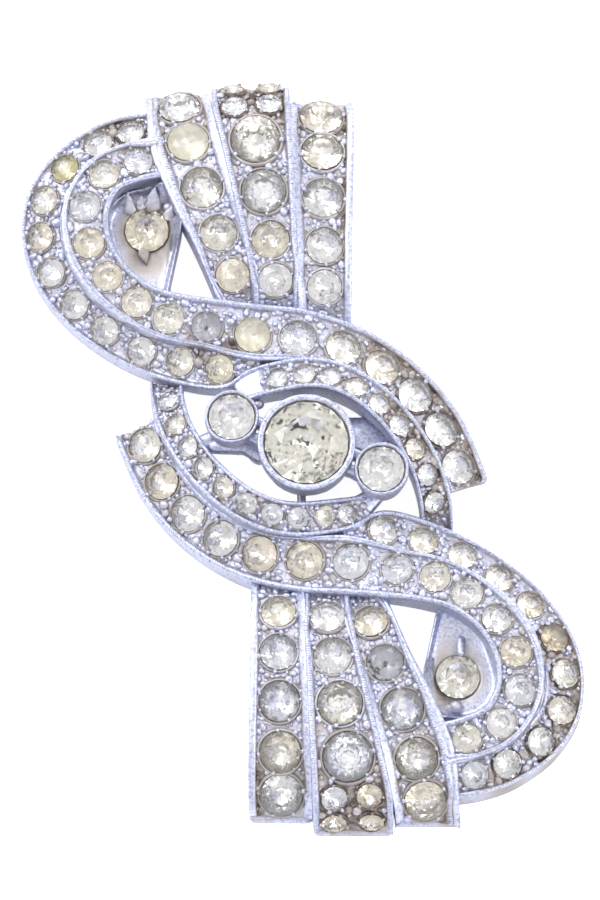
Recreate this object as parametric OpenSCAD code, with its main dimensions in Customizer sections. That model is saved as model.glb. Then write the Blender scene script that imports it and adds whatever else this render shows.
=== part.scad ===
// Rhinestone brooch: an S-scroll of cast white metal with two opposed fans,
// paved with foiled glass stones, and a trio of bezel stones at the middle.
// It lies on its back at z = 0, front up, its length along y.
// The metal has two-fold symmetry: each half is the other turned half a turn.

/* [Casting] */
// Thickness of the cast shell under the stones
shell_t = 1.2; // [1.0:0.1:1.4]
// Width of the raised ribs that edge each row of stones
rib_w = 0.5; // [0.4:0.05:0.55]
// Height of the ribs above the stones' girdles
rib_h = 0.35; // [0.2:0.05:0.45]
// Depth of the paved floor below the stones' girdles
seat = 0.5; // [0.45:0.05:0.6]
// Width of the plain band along the fan's straight side
plain_band_w = 0.6; // [0.5:0.05:0.7]

/* [Stones] */
// Clearance between a stone's back and its seat
stone_gap = 0.12; // [0.1:0.01:0.15]
// Height of the crown as a share of the stone's radius
crown_share = 0.3; // [0.2:0.02:0.36]
// Width of the table as a share of the stone's width
table_share = 0.6; // [0.5:0.02:0.66]
// Width of the flat back as a share of the stone's width
back_share = 0.72; // [0.6:0.02:0.76]
// Facets round the crown of a paved stone
facets = 8; // [8:1:9]
// Facets round the crown of the centre stone
centre_facets = 16; // [12:2:18]

/* [Trio] */
// Diameter of the centre stone
centre_d = 8.4; // [8.0:0.1:8.5]
// Diameter of each flank stone
flank_d = 4.6; // [4.4:0.1:4.7]
// Wall of the bezel round the centre stone
centre_wall = 0.6; // [0.5:0.05:0.7]
// Wall of the bezels round the flank stones
flank_wall = 0.3; // [0.25:0.05:0.4]
// Height of the centre stone's girdle above the back
centre_z = 8.4; // [8.2:0.1:8.8]
// Height of the flank stones' girdles above the back
flank_z = 8.2; // [8.0:0.1:8.6]
// Distance from the centre stone to a flank stone along x
flank_x = 7.46; // [7.4:0.02:7.6]
// Distance from the centre stone to a flank stone along y
flank_y = 2.66; // [2.5:0.02:2.8]
// How far the trio is soldered to the right of the casting's middle
trio_shift = 0.5; // [0.3:0.1:0.6]

/* [Pear plates] */
// Diameter of the stone on each pear-shaped plate
pear_d = 4.4; // [4.2:0.1:4.6]
// Height of that stone's girdle above the back
pear_z = 3.9; // [3.7:0.1:4.3]
// Height of the plate's floor above the back
pear_floor_z = 2.5; // [2.3:0.1:2.7]
// Wall round the plate
pear_wall = 0.55; // [0.45:0.05:0.7]

/* [Pin] */
// Diameter of the pin stem
stem_d = 0.9; // [0.8:0.05:1.0]
// Height of the stem's axis above the back plane
stem_z = 1.25; // [1.1:0.05:1.4]
// Distance between the hinge and the catch
pin_span = 21; // [20:0.5:22]

/* [Hidden] */
SIDES = ["upper", "lower"];
LEFT_COUNT = 5;
MIDDLE_COUNT = 4;
RIGHT_COUNT = 5;

// Columns of every lane table. A lane is one row of stones with a rib on each side.
X = 0;       // place of the stone, or of the lane's middle where there is none
Y = 1;
Z = 2;       // height of the girdle
D = 3;       // stone diameter, 0 where the lane has no stone
WL = 4;      // width of the lane to the left of its line of travel
WR = 5;      // width to the right
ROLL = 6;    // tilt of the surface to the right, in degrees
ZL = 7;      // how low the left wall reaches
ZR = 8;      // how low the right wall reaches

// The inner row: from under the fan round the loop, over the fan's root and down
// to the notch at the far side.
INNER_LANE = [
    //   x     y    z    d    wl    wr roll   zl   zr
    [-13.4, 30.2, 5.8, 0.0,  2.2,  2.2,   4, 3.0, 2.5],
    [-16.4, 29.6, 6.2, 2.9,  2.2,  2.1,   4, 3.0, 2.5],
    [-19.8, 28.1, 6.5, 3.0,  2.3,  2.1,   6, 2.4, 2.5],
    [-21.7, 24.8, 6.6, 3.1,  2.5,  2.2,   6, 2.4, 2.5],
    [-21.3, 20.9, 6.7, 3.1,  2.3,  2.5,   6, 2.4, 2.5],
    [-19.4, 17.5, 6.6, 3.0,  2.2,  2.5,   6, 2.4, 2.5],
    [-16.5, 14.9, 6.4, 3.1,  2.3,  2.2,   4, 2.4, 2.5],
    [-13.3, 13.2, 6.3, 3.1,  2.8,  2.1,   2, 2.4, 3.0],
    [ -9.5, 12.4, 6.2, 3.1,  3.0,  2.1,   0, 3.0, 3.0],
    [ -4.9, 11.6, 6.0, 3.6,  3.3,  2.6,  -5, 3.0, 3.0],
    [ -0.3, 11.4, 5.7, 3.7, 3.17,  2.5,  -9, 2.6, 3.0],
    [  4.2, 10.6, 4.9, 3.6, 2.83,  2.5, -14, 0.0, 3.0],
    [  8.1,  8.8, 4.0, 3.6, 2.65, 2.42, -18, 0.0, 2.6],
    [ 11.4,  6.1, 3.2, 3.6, 2.61,  2.4, -20, 0.0, 2.4],
    [ 14.0,  2.7, 2.7, 3.6, 2.58,  2.4, -20, 0.0, 2.0],
    [ 15.7, -1.1, 2.3, 3.5, 2.58,  2.4, -20, 0.0, 1.6],
    [ 16.4, -3.1, 2.1, 0.0, 2.58,  2.4, -20, 0.0, 1.4]
];

// The outer row: from under the fan round the outside of the loop to the crescent.
OUTER_LANE = [
    //    x      y    z     d    wl    wr roll  zl   zr
    [ -14.0, 33.37, 4.6,  0.0, 2.37, 2.03, 26, 1.6, 0.0],
    [-17.19, 32.97, 4.6, 2.75, 2.19, 1.98, 18, 1.6, 0.0],
    [-20.46, 31.82, 4.3,  2.9, 2.24, 1.98, 17, 1.6, 0.0],
    [-23.83, 29.43, 3.8,  2.9, 2.26, 1.95, 19, 1.6, 0.0],
    [-25.91, 26.17, 3.5,  2.9, 2.23, 1.93, 19, 1.6, 0.0],
    [ -26.3, 22.41, 3.3,  2.9,  2.3, 1.91, 20, 1.6, 0.0],
    [-25.21, 18.74, 3.2,  2.9,  2.3, 1.91, 20, 1.6, 0.0],
    [-22.83, 15.37, 3.2,  2.9,  2.3, 1.91, 20, 1.6, 0.0],
    [-19.74, 12.68, 3.4,  2.9, 2.23, 1.93, 19, 1.6, 0.0],
    [-16.06, 10.49, 3.8,  2.9, 2.22, 1.97, 18, 1.6, 0.4],
    [-12.18,  9.17, 4.6,  2.9, 2.15, 2.22, 15, 2.0, 1.6],
    [  -8.2,  8.25, 5.4,  2.9, 1.98, 2.09, 11, 2.6, 2.6],
    [  -6.0,   8.8, 5.6,  0.0,  1.3,  1.2, 10, 3.0, 3.0],
    [  -4.2,   9.1, 5.7,  0.0,  1.0,  1.0,  4, 3.0, 3.0]
];

// The crescent row: along the inner side of the ribbon and under the other loop.
// Its first stone is left out of the upper crescent, which ends in a bead there.
CRESCENT_LANE = [
    //  x     y    z    d    wl    wr roll   zl   zr
    [-6.6,  5.8, 5.4, 0.0, 1.25, 1.25,   0, 3.2, 3.2],
    [-4.6,  6.7, 6.0, 2.0, 1.59, 1.65,  -6, 3.2, 3.2],
    [-2.4,  7.1, 6.6, 2.1, 1.76, 1.64, -11, 3.2, 3.2],
    [ 0.3,  7.4, 7.1, 2.2, 1.82, 1.64, -15, 3.2, 3.2],
    [ 2.9,  7.1, 7.4, 2.2,  1.8, 1.64, -18, 3.2, 3.2],
    [ 5.5,  6.0, 7.4, 2.2, 1.79, 1.64, -20, 3.0, 3.2],
    [ 7.8,  4.3, 7.2, 2.2, 1.79, 1.64, -20, 2.8, 3.2],
    [ 9.8,  2.2, 6.7, 2.2, 1.79, 1.64, -20, 2.6, 3.0],
    [11.4, -0.1, 6.2, 2.2, 1.79, 1.64, -20, 2.2, 2.6],
    [12.6, -2.6, 5.4, 2.2,  1.8, 1.64, -18, 1.6, 2.0],
    [13.3, -5.3, 4.6, 2.2, 1.82, 1.64, -15, 0.0, 1.4],
    [13.4, -7.8, 2.3, 0.0, 1.87, 1.64, -10, 0.0, 0.6]
];

// The three columns of the fan, from its root under the ribbon to its curled end.
FAN_LEFT_LANE = [
    // x      y     z    d    wl   wr   roll  zl   zr
    [ -5.7, 13.6, 4.1, 0.0, 2.1, 2.1,   0,  2.6, 3.0],
    [ -6.9, 17.7, 6.2, 3.4, 2.4, 2.5,   0,  2.4, 3.0],
    [ -8.3, 22.0, 6.6, 3.7, 2.8, 2.5,   0,  2.4, 3.0],
    [-10.0, 26.7, 6.6, 4.2, 3.4, 3.0,   0,  2.6, 3.0],
    [-11.4, 31.6, 6.0, 4.2, 3.9, 3.2,   0,  2.6, 2.0],
    [-12.3, 35.6, 4.4, 4.2, 3.4, 3.2,   0,  0.4, 0.4],
    [-12.6, 37.0, 2.6, 0.0, 3.2, 3.3,   0,  0.0, 0.0],
    [-12.6, 37.5, 1.2, 0.0, 3.2, 3.3,   0,  0.0, 0.0]
];
FAN_MIDDLE_LANE = [
    // x      y     z    d    wl   wr   roll  zl   zr
    [ -2.4, 13.2, 3.8, 0.0, 2.3, 2.2,   0,  3.0, 3.0],
    [ -2.6, 17.2, 6.2, 3.4, 2.4, 2.4,   0,  3.0, 3.0],
    [ -3.1, 21.3, 6.7, 3.8, 2.7, 2.7,   0,  3.0, 3.0],
    [ -3.8, 26.2, 7.1, 4.5, 3.1, 3.2,   0,  3.0, 3.0],
    [ -4.6, 31.6, 7.0, 5.0, 3.5, 3.7,   0,  2.4, 2.4],
    [ -5.0, 35.5, 5.8, 0.0, 4.0, 3.9,   0,  0.8, 0.8],
    [ -5.1, 37.7, 3.7, 0.0, 4.0, 3.9,   0,  0.0, 0.0],
    [ -5.1, 38.4, 1.2, 0.0, 4.0, 3.9,   0,  0.0, 0.0]
];
FAN_RIGHT_LANE = [
    // x      y     z    d    wl   wr   roll  zl   zr
    [  2.3, 12.8, 3.5, 0.0, 2.5, 2.7,   4,  2.4, 0.0],
    [  2.3, 16.6, 5.7, 3.5, 2.7, 2.8,   4,  3.0, 0.0],
    [  2.3, 20.8, 6.1, 3.7, 2.8, 2.8,   4,  3.0, 0.0],
    [  2.2, 25.8, 6.0, 4.1, 3.0, 3.0,   4,  3.0, 0.0],
    [  2.1, 30.8, 5.2, 4.2, 3.1, 3.2,   4,  2.4, 0.0],
    [  2.0, 34.8, 3.5, 4.3, 3.1, 3.3,   4,  0.4, 0.0],
    [  1.9, 36.5, 2.0, 0.0, 3.0, 3.3,   2,  0.0, 0.0],
    [  1.9, 37.1, 1.1, 0.0, 3.0, 3.3,   0,  0.0, 0.0]
];

// Pairs of small stones over the rolled end of the fan's middle column.
// Columns: row along the lane, distance from its middle, diameter.
FAN_END_PAIRS = [
    [5.0, 1.75, 2.6],
    [6.0, 1.85, 2.5]
];

// Pear plate: four circles span its outline. Columns: x, y, radius.
PEAR_HEAD = [-15.9, 23.3, 3.9];
PEAR_SHOULDER = [-13.9, 25.6, 1.8];
PEAR_HEEL = [-16.5, 19.2, 2.1];
PEAR_TAIL = [-14.2, 16.8, 0.9];
PEAR_STONE = [-15.55, 22.9];
// Leaf-shaped prongs beside the pear stone. Columns: x, y, radius, height above the floor.
PEAR_PRONGS = [
    [[-16.7, 26.1, 0.35, 1.0], [-16.5, 25.4, 0.3, 1.5]],
    [[-14.7, 26.1, 0.35, 1.0], [-14.9, 25.5, 0.3, 1.5]],
    [[-15.2, 19.3, 0.4, 0.9], [-15.3, 20.2, 0.3, 1.4]]
];
PRONG_FN = 8;
PEAR_FN = 24;
pear_base_t = 1.0;     // thickness of the pear plate
pear_rim = 0.3;        // height of its rim above the stone's girdle
pear_least_r = 0.2;    // least radius of the outline's circles

centre_r = centre_d / 2;
flank_r = flank_d / 2;
lip = 0.45;            // height of a bezel's lip above the girdle
lip_lean = 0.12;       // how far the lip's inner edge stands back from the seat
lip_edge = [0.1, 0.1];     // bevel on the lip's outer edge, in and down
girdle_gap = 0.1;      // clearance round a bezel stone
bezel_bore = 0.4;      // how far the bore lies inside the stone's flat back
bezel_ledge = 0.3;     // how far the seat spreads beyond the flat back
bezel_taper = 0.35;    // how much the bezel narrows to its foot
bezel_upright = 1.2;   // depth of the upright part of the wall below the girdle
centre_foot_z = 4.4;   // underside of the centre bezel
flank_foot_z = 4.2;    // underside of the flank bezels
CUP_FN = 32;
FLANK_FN = 20;
STEM_FN = 24;
web_z = 4.8;           // underside of the webs between the bezels
web_h = 2.2;
web_r = 0.6;
web_start = [4.0, 1.2];    // where a web leaves the centre bezel
web_end_share = 0.78;  // where it meets the flank bezel, as a share of the way there
web_spread = [1.0, 0.9];   // half the distance between two webs, at each end
bar_z = 3.5;           // underside of the bars that tie the trio to the crescents
bar_h = 1.8;
// Feet of the tie bars under a flank bezel. Columns: x, y from its middle, radius.
ROOT_FOOT = [-0.6, -1.9, 0.9];
SIDE_FOOT = [1.7, 1.2, 0.7];
// Ends of the tie bars on the crescents. Columns: x, y, radius.
ROOT_END = [-5.6, 6.0, 1.3];
SIDE_END = [-10.7, 0.4, 0.8];
// A web runs under the left flank bezel, and another fills the corner over the right one.
// Columns: x, y, underside, height, radius.
LEFT_WEB = [[-8.7, 0.6, 3.6, 1.6, 0.8], [-5.6, 0.5, 3.6, 1.6, 0.8], [-4.2, -0.5, 3.6, 1.6, 0.8]];
CORNER_WEB = [
    [ 4.4,  3.0, 3.0, 1.5, 0.6],
    [ 6.9,  3.2, 3.0, 1.0, 0.5],
    [ 8.5,  1.4, 3.0, 1.0, 0.5],
    [ 7.7, -0.2, 3.0, 1.5, 0.5],
    [ 4.7,  1.0, 3.0, 1.9, 0.5]
];

LANE_STEPS = 2;        // cross-sections in each stretch of a lane
FLANGE = 1.5;          // least depth of a lane's side wall below its girdle line
PARTING = 0.01;        // half the step used to find a lane's direction
SINK_SHARE = 0.8;      // how deep a fading rib sinks, as a share of the seat
FADE_ROWS = 2;         // rows over which the ribs fade at a fan's end
outer_left_rib = -0.2;     // the outer row's inner rib lies under the inner row's
crescent_left_rib = 0.15;  // the crescent's rib on the ribbon's side is low
ridge_w = 0.4;             // width of the ridge between the inner row and the crescent
outer_rib_w = 0.3;         // width of the rib round the outside of a loop
crescent_rib_w = 0.35;     // width of a crescent's ribs
UPPER_CRESCENT_FIRST = 2;  // first row with a stone in the upper crescent

pad = [3.6, 2.2, 0.7];     // plate at each end of the pin
pad_top = 2.85;
neck = [1.6, 1.2];         // block between a plate and the stem
stem_tail = 1.5;           // how far the stem runs past the catch

function unit(v) = v / norm(v);

// A smooth curve through four neighbouring rows of a table.
function blend4(a, b, c, d, t) =
    0.5 * (2 * b + (c - a) * t
        + (2 * a - 5 * b + 4 * c - d) * t * t
        + (3 * b - a - 3 * c + d) * t * t * t);

function row_at(lane, s) =
    let (
        last = len(lane) - 1,
        i = min(floor(s), last - 1)
    )
    blend4(lane[max(i - 1, 0)], lane[i], lane[i + 1], lane[min(i + 2, last)], s - i);

function spot(row) = [row[X], row[Y], row[Z]];

function heading(lane, s) =
    unit(spot(row_at(lane, min(s + PARTING, len(lane) - 1)))
        - spot(row_at(lane, max(s - PARTING, 0))));

// Directions at a place on a lane: along it, across it to the right, and off its surface.
function axes_at(lane, s) =
    let (
        along = heading(lane, s),
        right = unit([along[1], -along[0], 0]),
        up = cross(right, along),
        roll = row_at(lane, s)[ROLL]
    )
    [along, right * cos(roll) - up * sin(roll), up * cos(roll) + right * sin(roll)];

function on_surface(lane, s, u, w) =
    let (axes = axes_at(lane, s))
    spot(row_at(lane, s)) + axes[1] * u + axes[2] * w;

function above_back(p) = [p[0], p[1], max(p[2], 0)];
function at_height(p, z) = [p[0], p[1], max(min(p[2], z), 0)];

// One cross-section of a lane: ribs, floor, side walls and the hollow underside.
// The ribs are given as heights above the girdle line, one for each side.
function lane_section(lane, s, ribs, widths) =
    let (
        row = row_at(lane, s),
        left = -row[WL],
        right = row[WR],
        slope = 0.2,
        left_top = on_surface(lane, s, left, ribs[0]),
        right_top = on_surface(lane, s, right, ribs[1]),
        left_in = on_surface(lane, s, left + shell_t, -FLANGE),
        right_in = on_surface(lane, s, right - shell_t, -FLANGE)
    )
    [
        at_height(left_top, min(row[ZL], left_top[2] - FLANGE)),
        left_top,
        on_surface(lane, s, left + widths[0], ribs[0]),
        on_surface(lane, s, left + widths[0] + slope, -seat),
        on_surface(lane, s, right - widths[1] - slope, -seat),
        on_surface(lane, s, right - widths[1], ribs[1]),
        right_top,
        at_height(right_top, min(row[ZR], right_top[2] - FLANGE)),
        at_height(right_in, min(row[ZR], right_top[2] - FLANGE)),
        above_back(on_surface(lane, s, right - shell_t - slope, -seat - shell_t)),
        above_back(on_surface(lane, s, left + shell_t + slope, -seat - shell_t)),
        at_height(left_in, min(row[ZL], left_top[2] - FLANGE))
    ];

// Ribs that sink into the floor over the last rows of a lane.
function ribs_at(ribs, rows_left, fade) =
    rows_left < fade ? ribs * rows_left / fade - [seat, seat] * SINK_SHARE * (1 - rows_left / fade) : ribs;

SECTION_POINTS = 12;
// The end face of a lane as triangles, over the twelve points of a section.
END_FACE = [
    [0, 1, 11], [1, 2, 3], [1, 3, 11], [11, 3, 10], [3, 4, 10],
    [10, 4, 9], [9, 4, 8], [4, 5, 6], [4, 6, 8], [8, 6, 7]
];

module lane_shell(lane, ribs = [rib_h, rib_h], widths = [rib_w, rib_w], steps = LANE_STEPS, fade = 0) {
    stretches = (len(lane) - 1) * steps;
    points = [
        for (k = [0:stretches])
            each lane_section(lane, k / steps, ribs_at(ribs, (stretches - k) / steps, fade), widths)
    ];
    sides = [
        for (k = [0:stretches - 1])
            for (i = [0:SECTION_POINTS - 1])
                let (
                    j = (i + 1) % SECTION_POINTS,
                    a = k * SECTION_POINTS,
                    b = a + SECTION_POINTS
                )
                each [[a + i, b + i, b + j], [a + i, b + j, a + j]]
    ];
    first_end = [for (f = END_FACE) [f[0], f[1], f[2]]];
    last_end = [for (f = END_FACE) [for (i = [2:-1:0]) f[i] + stretches * SECTION_POINTS]];
    polyhedron(points, concat(first_end, sides, last_end));
}

// A cut stone with its girdle at z = 0: table, crown facets, pavilion and flat back.
module cut_stone(d, sides = facets) {
    r = d / 2;
    rings = [
        [r * table_share, r * crown_share],
        [r, 0],
        [r * back_share, stone_gap - seat]
    ];
    points = [
        for (ring = rings)
            for (k = [0:sides - 1])
                [ring[0] * cos(360 * k / sides), ring[0] * sin(360 * k / sides), ring[1]]
    ];
    last = len(rings) - 1;
    faces = concat(
        [[for (k = [sides - 1:-1:0]) k]],
        [
            for (ring = [0:last - 1])
                for (k = [0:sides - 1])
                    let (n = (k + 1) % sides, a = ring * sides, b = a + sides)
                    [a + k, a + n, b + n, b + k]
        ],
        [[for (k = [0:sides - 1]) last * sides + k]]
    );
    polyhedron(points, faces);
}

// Puts its child on a lane's surface at row s, u to the right of its middle.
module on_lane(lane, s, u = 0) {
    axes = axes_at(lane, s);
    p = on_surface(lane, s, u, 0);
    multmatrix([
        [axes[1][0], axes[0][0], axes[2][0], p[0]],
        [axes[1][1], axes[0][1], axes[2][1], p[1]],
        [axes[1][2], axes[0][2], axes[2][2], p[2]]
    ])
        children();
}

module lane_stone(lane, k) {
    on_lane(lane, k) cut_stone(lane[k][D]);
}

module lane_stones(lane, first) {
    for (k = [first:len(lane) - 1])
        if (lane[k][D] > 0)
            lane_stone(lane, k);
}

module turned(side) {
    rotate([0, 0, side == "lower" ? 180 : 0]) children();
}

module pear_outline(shrink) {
    hull() {
        for (end = [PEAR_HEAD, PEAR_SHOULDER, PEAR_HEEL, PEAR_TAIL])
            translate([end[0], end[1]])
                circle(r = max(end[2] - shrink, pear_least_r), $fn = PEAR_FN);
    }
}

module pear_plate() {
    rim_z = pear_z + pear_rim;
    difference() {
        translate([0, 0, pear_floor_z - pear_base_t])
            linear_extrude(rim_z - pear_floor_z + pear_base_t) pear_outline(0);
        translate([0, 0, pear_floor_z])
            linear_extrude(rim_z) pear_outline(pear_wall);
    }
    cup_r = pear_d / 2 * back_share;
    translate([PEAR_STONE[0], PEAR_STONE[1], pear_floor_z - pear_base_t / 2])
        cylinder(h = pear_z - seat - pear_floor_z + pear_base_t / 2, r = cup_r, $fn = FLANK_FN);
    for (prong = PEAR_PRONGS)
        hull() {
            for (end = prong)
                translate([end[0], end[1], pear_floor_z - pear_base_t / 2])
                    cylinder(h = end[3] + pear_base_t / 2, r = end[2], $fn = PRONG_FN);
        }
}

module bezel(r, wall, girdle_z, foot_z, sides) {
    out = r + girdle_gap + wall;
    bore = r * back_share - bezel_bore;
    rotate_extrude($fn = sides)
        polygon([
            [bore, foot_z],
            [out - bezel_taper, foot_z],
            [out, girdle_z - bezel_upright],
            [out, girdle_z + lip - lip_edge[1]],
            [out - lip_edge[0], girdle_z + lip],
            [out - wall + lip_lean, girdle_z + lip],
            [r + girdle_gap, girdle_z],
            [r * back_share + bezel_ledge, girdle_z - seat],
            [bore, girdle_z - seat]
        ]);
}

module post(at, z, h, r) {
    translate([at[0], at[1], z]) cylinder(h = h, r = r, $fn = PRONG_FN * 2);
}

// The three bezels with their webs and the bars that tie them to the crescents.
module trio() {
    translate([trio_shift, 0, 0]) {
        bezel(centre_r, centre_wall, centre_z, centre_foot_z, CUP_FN);
        for (way = [-1, 1]) {
            flank = [way * flank_x, -way * flank_y];
            translate(flank) bezel(flank_r, flank_wall, flank_z, flank_foot_z, FLANK_FN);
            for (slope = [-1, 1])
                hull() {
                    post(
                        [way * web_start[0], -way * web_start[1] + slope * web_spread[0]],
                        web_z, web_h, web_r
                    );
                    post(flank * web_end_share + [0, slope * web_spread[1]], web_z, web_h, web_r);
                }
        }
    }
    for (way = [-1, 1]) {
        flank = [way * flank_x + trio_shift, -way * flank_y];
        root_foot = flank + way * [ROOT_FOOT[0], ROOT_FOOT[1]];
        side_foot = flank + way * [SIDE_FOOT[0], SIDE_FOOT[1]];
        hull() {
            post(root_foot, bar_z, bar_h, ROOT_FOOT[2]);
            post([-way * ROOT_END[0], -way * ROOT_END[1]], bar_z, bar_h, ROOT_END[2]);
        }
        hull() {
            post(side_foot, bar_z, bar_h, SIDE_FOOT[2]);
            post([-way * SIDE_END[0], -way * SIDE_END[1]], bar_z, bar_h, SIDE_END[2]);
        }
    }
    for (i = [1 : len(LEFT_WEB) - 1])
        hull() web_posts([LEFT_WEB[i - 1], LEFT_WEB[i]]);
    hull() web_posts(CORNER_WEB);
}

module web_posts(rows) {
    for (row = rows)
        post([row[0], row[1]], row[2], row[3], row[4]);
}

module half_casting() {
    lane_shell(INNER_LANE, widths = [rib_w, ridge_w]);
    lane_shell(OUTER_LANE, ribs = [outer_left_rib, rib_h], widths = [rib_w, outer_rib_w]);
    lane_shell(
        CRESCENT_LANE,
        ribs = [crescent_left_rib, rib_h],
        widths = [crescent_rib_w, crescent_rib_w]
    );
    lane_shell(FAN_LEFT_LANE, steps = 1, fade = FADE_ROWS);
    lane_shell(FAN_MIDDLE_LANE, steps = 1, fade = FADE_ROWS);
    lane_shell(FAN_RIGHT_LANE, widths = [rib_w, plain_band_w], steps = 1, fade = FADE_ROWS);
    pear_plate();
}

module casting() {
    color("lightsteelblue")
        union() {
            for (side = SIDES)
                turned(side) half_casting();
            trio();
        }
}

// The pin finding, one plain piece: hinge block, stem and catch, in the hollow back.
module pin_back() {
    half = pin_span / 2;
    color("silver") {
        for (way = [-1, 1]) {
            translate([-pad[0] / 2, way * half - pad[1] / 2, pad_top - pad[2]]) cube(pad);
            translate([-neck[0] / 2, way * half - neck[1] / 2, stem_z - stem_d])
                cube([neck[0], neck[1], pad_top - stem_z + stem_d - pad[2] / 2]);
        }
        translate([0, -half - stem_tail, stem_z])
            rotate([-90, 0, 0]) cylinder(h = pin_span + stem_tail, d = stem_d, $fn = STEM_FN);
    }
}

module centre_stone() {
    color("lightgoldenrodyellow")
        translate([trio_shift, 0, centre_z]) cut_stone(centre_d, centre_facets);
}

module flank_stone(way) {
    color("whitesmoke")
        translate([way * flank_x + trio_shift, -way * flank_y, flank_z]) cut_stone(flank_d);
}

module pear_stone(side) {
    color("wheat")
        turned(side)
            translate([PEAR_STONE[0], PEAR_STONE[1], pear_z]) cut_stone(pear_d);
}

module stone_row(lane, side, first = 0) {
    color("ivory") turned(side) lane_stones(lane, first);
}

module fan_stone(lane, side, k) {
    color("white") turned(side) lane_stone(lane, k);
}

module fan_end_stones(side) {
    color("ivory")
        turned(side)
            for (pair = FAN_END_PAIRS)
                for (way = [-1, 1])
                    on_lane(FAN_MIDDLE_LANE, pair[0], way * pair[1]) cut_stone(pair[2]);
}

casting();
pin_back();
centre_stone();
flank_stone(-1);  // flank_stone_left
flank_stone(1);  // flank_stone_right
pear_stone("upper");  // pear_stone_upper
pear_stone("lower");  // pear_stone_lower
stone_row(INNER_LANE, "upper");  // inner_row_upper
stone_row(INNER_LANE, "lower");  // inner_row_lower
stone_row(OUTER_LANE, "upper");  // outer_row_upper
stone_row(OUTER_LANE, "lower");  // outer_row_lower
stone_row(CRESCENT_LANE, "upper", UPPER_CRESCENT_FIRST);  // crescent_row_upper
stone_row(CRESCENT_LANE, "lower");  // crescent_row_lower
fan_end_stones("upper");  // fan_end_stones_upper
fan_end_stones("lower");  // fan_end_stones_lower
for (side = SIDES) {
    for (k = [1:LEFT_COUNT])
        fan_stone(FAN_LEFT_LANE, side, k);
    for (k = [1:MIDDLE_COUNT])
        fan_stone(FAN_MIDDLE_LANE, side, k);
    for (k = [1:RIGHT_COUNT])
        fan_stone(FAN_RIGHT_LANE, side, k);
}
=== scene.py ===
# %% [markdown]
# # A pave-set rhinestone brooch
#
# The brooch is an S-scroll cast in white metal and thinly plated. Its stones are cut glass with
# foil behind them. The solids that this lesson starts from already have the true sizes, so the
# work here is the finish: rounded ribs, fine beaded edges, rough cast floors, brown tarnish in
# the hollows, and stones whose facets catch the light.

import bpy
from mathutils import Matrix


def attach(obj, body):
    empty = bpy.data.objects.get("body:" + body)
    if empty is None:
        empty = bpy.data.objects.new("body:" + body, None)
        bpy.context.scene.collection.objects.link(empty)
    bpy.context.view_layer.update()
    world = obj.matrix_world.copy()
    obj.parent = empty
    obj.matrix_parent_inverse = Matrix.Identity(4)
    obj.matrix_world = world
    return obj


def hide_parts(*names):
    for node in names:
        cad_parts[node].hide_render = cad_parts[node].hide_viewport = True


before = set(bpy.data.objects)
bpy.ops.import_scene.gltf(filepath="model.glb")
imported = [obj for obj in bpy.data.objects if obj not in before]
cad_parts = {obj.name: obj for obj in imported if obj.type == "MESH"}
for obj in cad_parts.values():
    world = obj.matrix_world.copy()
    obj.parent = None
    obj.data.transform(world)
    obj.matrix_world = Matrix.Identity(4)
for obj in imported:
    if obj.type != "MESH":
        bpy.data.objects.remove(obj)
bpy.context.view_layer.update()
print("nodes in the frame:", len(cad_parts))

# %% Units
import math

import bpy
import numpy as np
from mathutils import Matrix, Vector

MM = 0.001           # the tables below are in millimetres, Blender's units are metres
HALVES = ("upper", "lower")
random = np.random.default_rng(7)        # a fixed seed, so that every run gives the same brooch

# %% [markdown]
# ## The camera
#
# A flat jewel is photographed from far above with a long lens, so that it hardly tapers. The
# camera stands 13 degrees off straight down, on the side of the lower fan. It is placed first,
# because every later choice of detail is judged through it.

# %% Camera
TILT_DEG = 13.0
CAMERA_DISTANCE = 1000.0
VIEW_HEIGHT = 90.0
VIEW_CENTRE = Vector((-0.15, 0.26, 4.0))

camera_data = bpy.data.cameras.new("camera")
camera_data.lens = camera_data.sensor_width * CAMERA_DISTANCE / VIEW_HEIGHT
camera_data.clip_end = 10.0
camera = bpy.data.objects.new("camera", camera_data)
tilt = math.radians(TILT_DEG)
towards_camera = Vector((0.0, -math.sin(tilt), math.cos(tilt)))
camera.location = (VIEW_CENTRE + towards_camera * CAMERA_DISTANCE) * MM
camera.rotation_euler = (-towards_camera).to_track_quat("-Z", "Y").to_euler()
bpy.context.scene.collection.objects.link(camera)
bpy.context.scene.camera = camera
print("lens:", round(camera_data.lens), "mm")

# %% [markdown]
# ## Helpers for materials
#
# Colours are picked as sRGB hex values, but the renderer adds light linearly, so one function
# turns them. A second one adds a node with its settings and links in a single line.

# %% Colour and node helpers
def linear(hex_colour):
    """An sRGB hex colour as linear red, green, blue and alpha."""
    channels = [int(hex_colour[i:i + 2], 16) / 255 for i in (1, 3, 5)]
    return tuple(c / 12.92 if c <= 0.04045 else ((c + 0.055) / 1.055) ** 2.4 for c in channels) + (1.0,)


def add_node(tree, kind, inputs=None, **settings):
    """Adds a node. Its inputs are values, or links from a socket or from a node's first output."""
    node = tree.nodes.new(kind)
    for key, value in settings.items():
        setattr(node, key, value)
    for key, value in (inputs or {}).items():
        if isinstance(value, bpy.types.Node):
            value = next(output for output in value.outputs if output.enabled)
        if isinstance(value, bpy.types.NodeSocket):
            tree.links.new(value, node.inputs[key])
        else:
            node.inputs[key].default_value = value
    return node


def new_material(name):
    material = bpy.data.materials.new(name)
    material.use_nodes = True
    material.node_tree.nodes.clear()
    return material, material.node_tree


# The numbers of a Mix node's inputs when it mixes colours.
SHARE, FIRST, SECOND = 0, 6, 7

# %% [markdown]
# ## Plated white metal
#
# The casting is a tin and lead alloy, rough from the mould and plated so thinly that it has
# worn to a cool, slightly violet grey. It is a satin metal with dark pits a third of a
# millimetre apart. Brown tarnish fills the hollows, where nobody can polish. The meshes carry
# it as an attribute called grime, from 0 to 1, because the tarnish follows the form.

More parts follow.
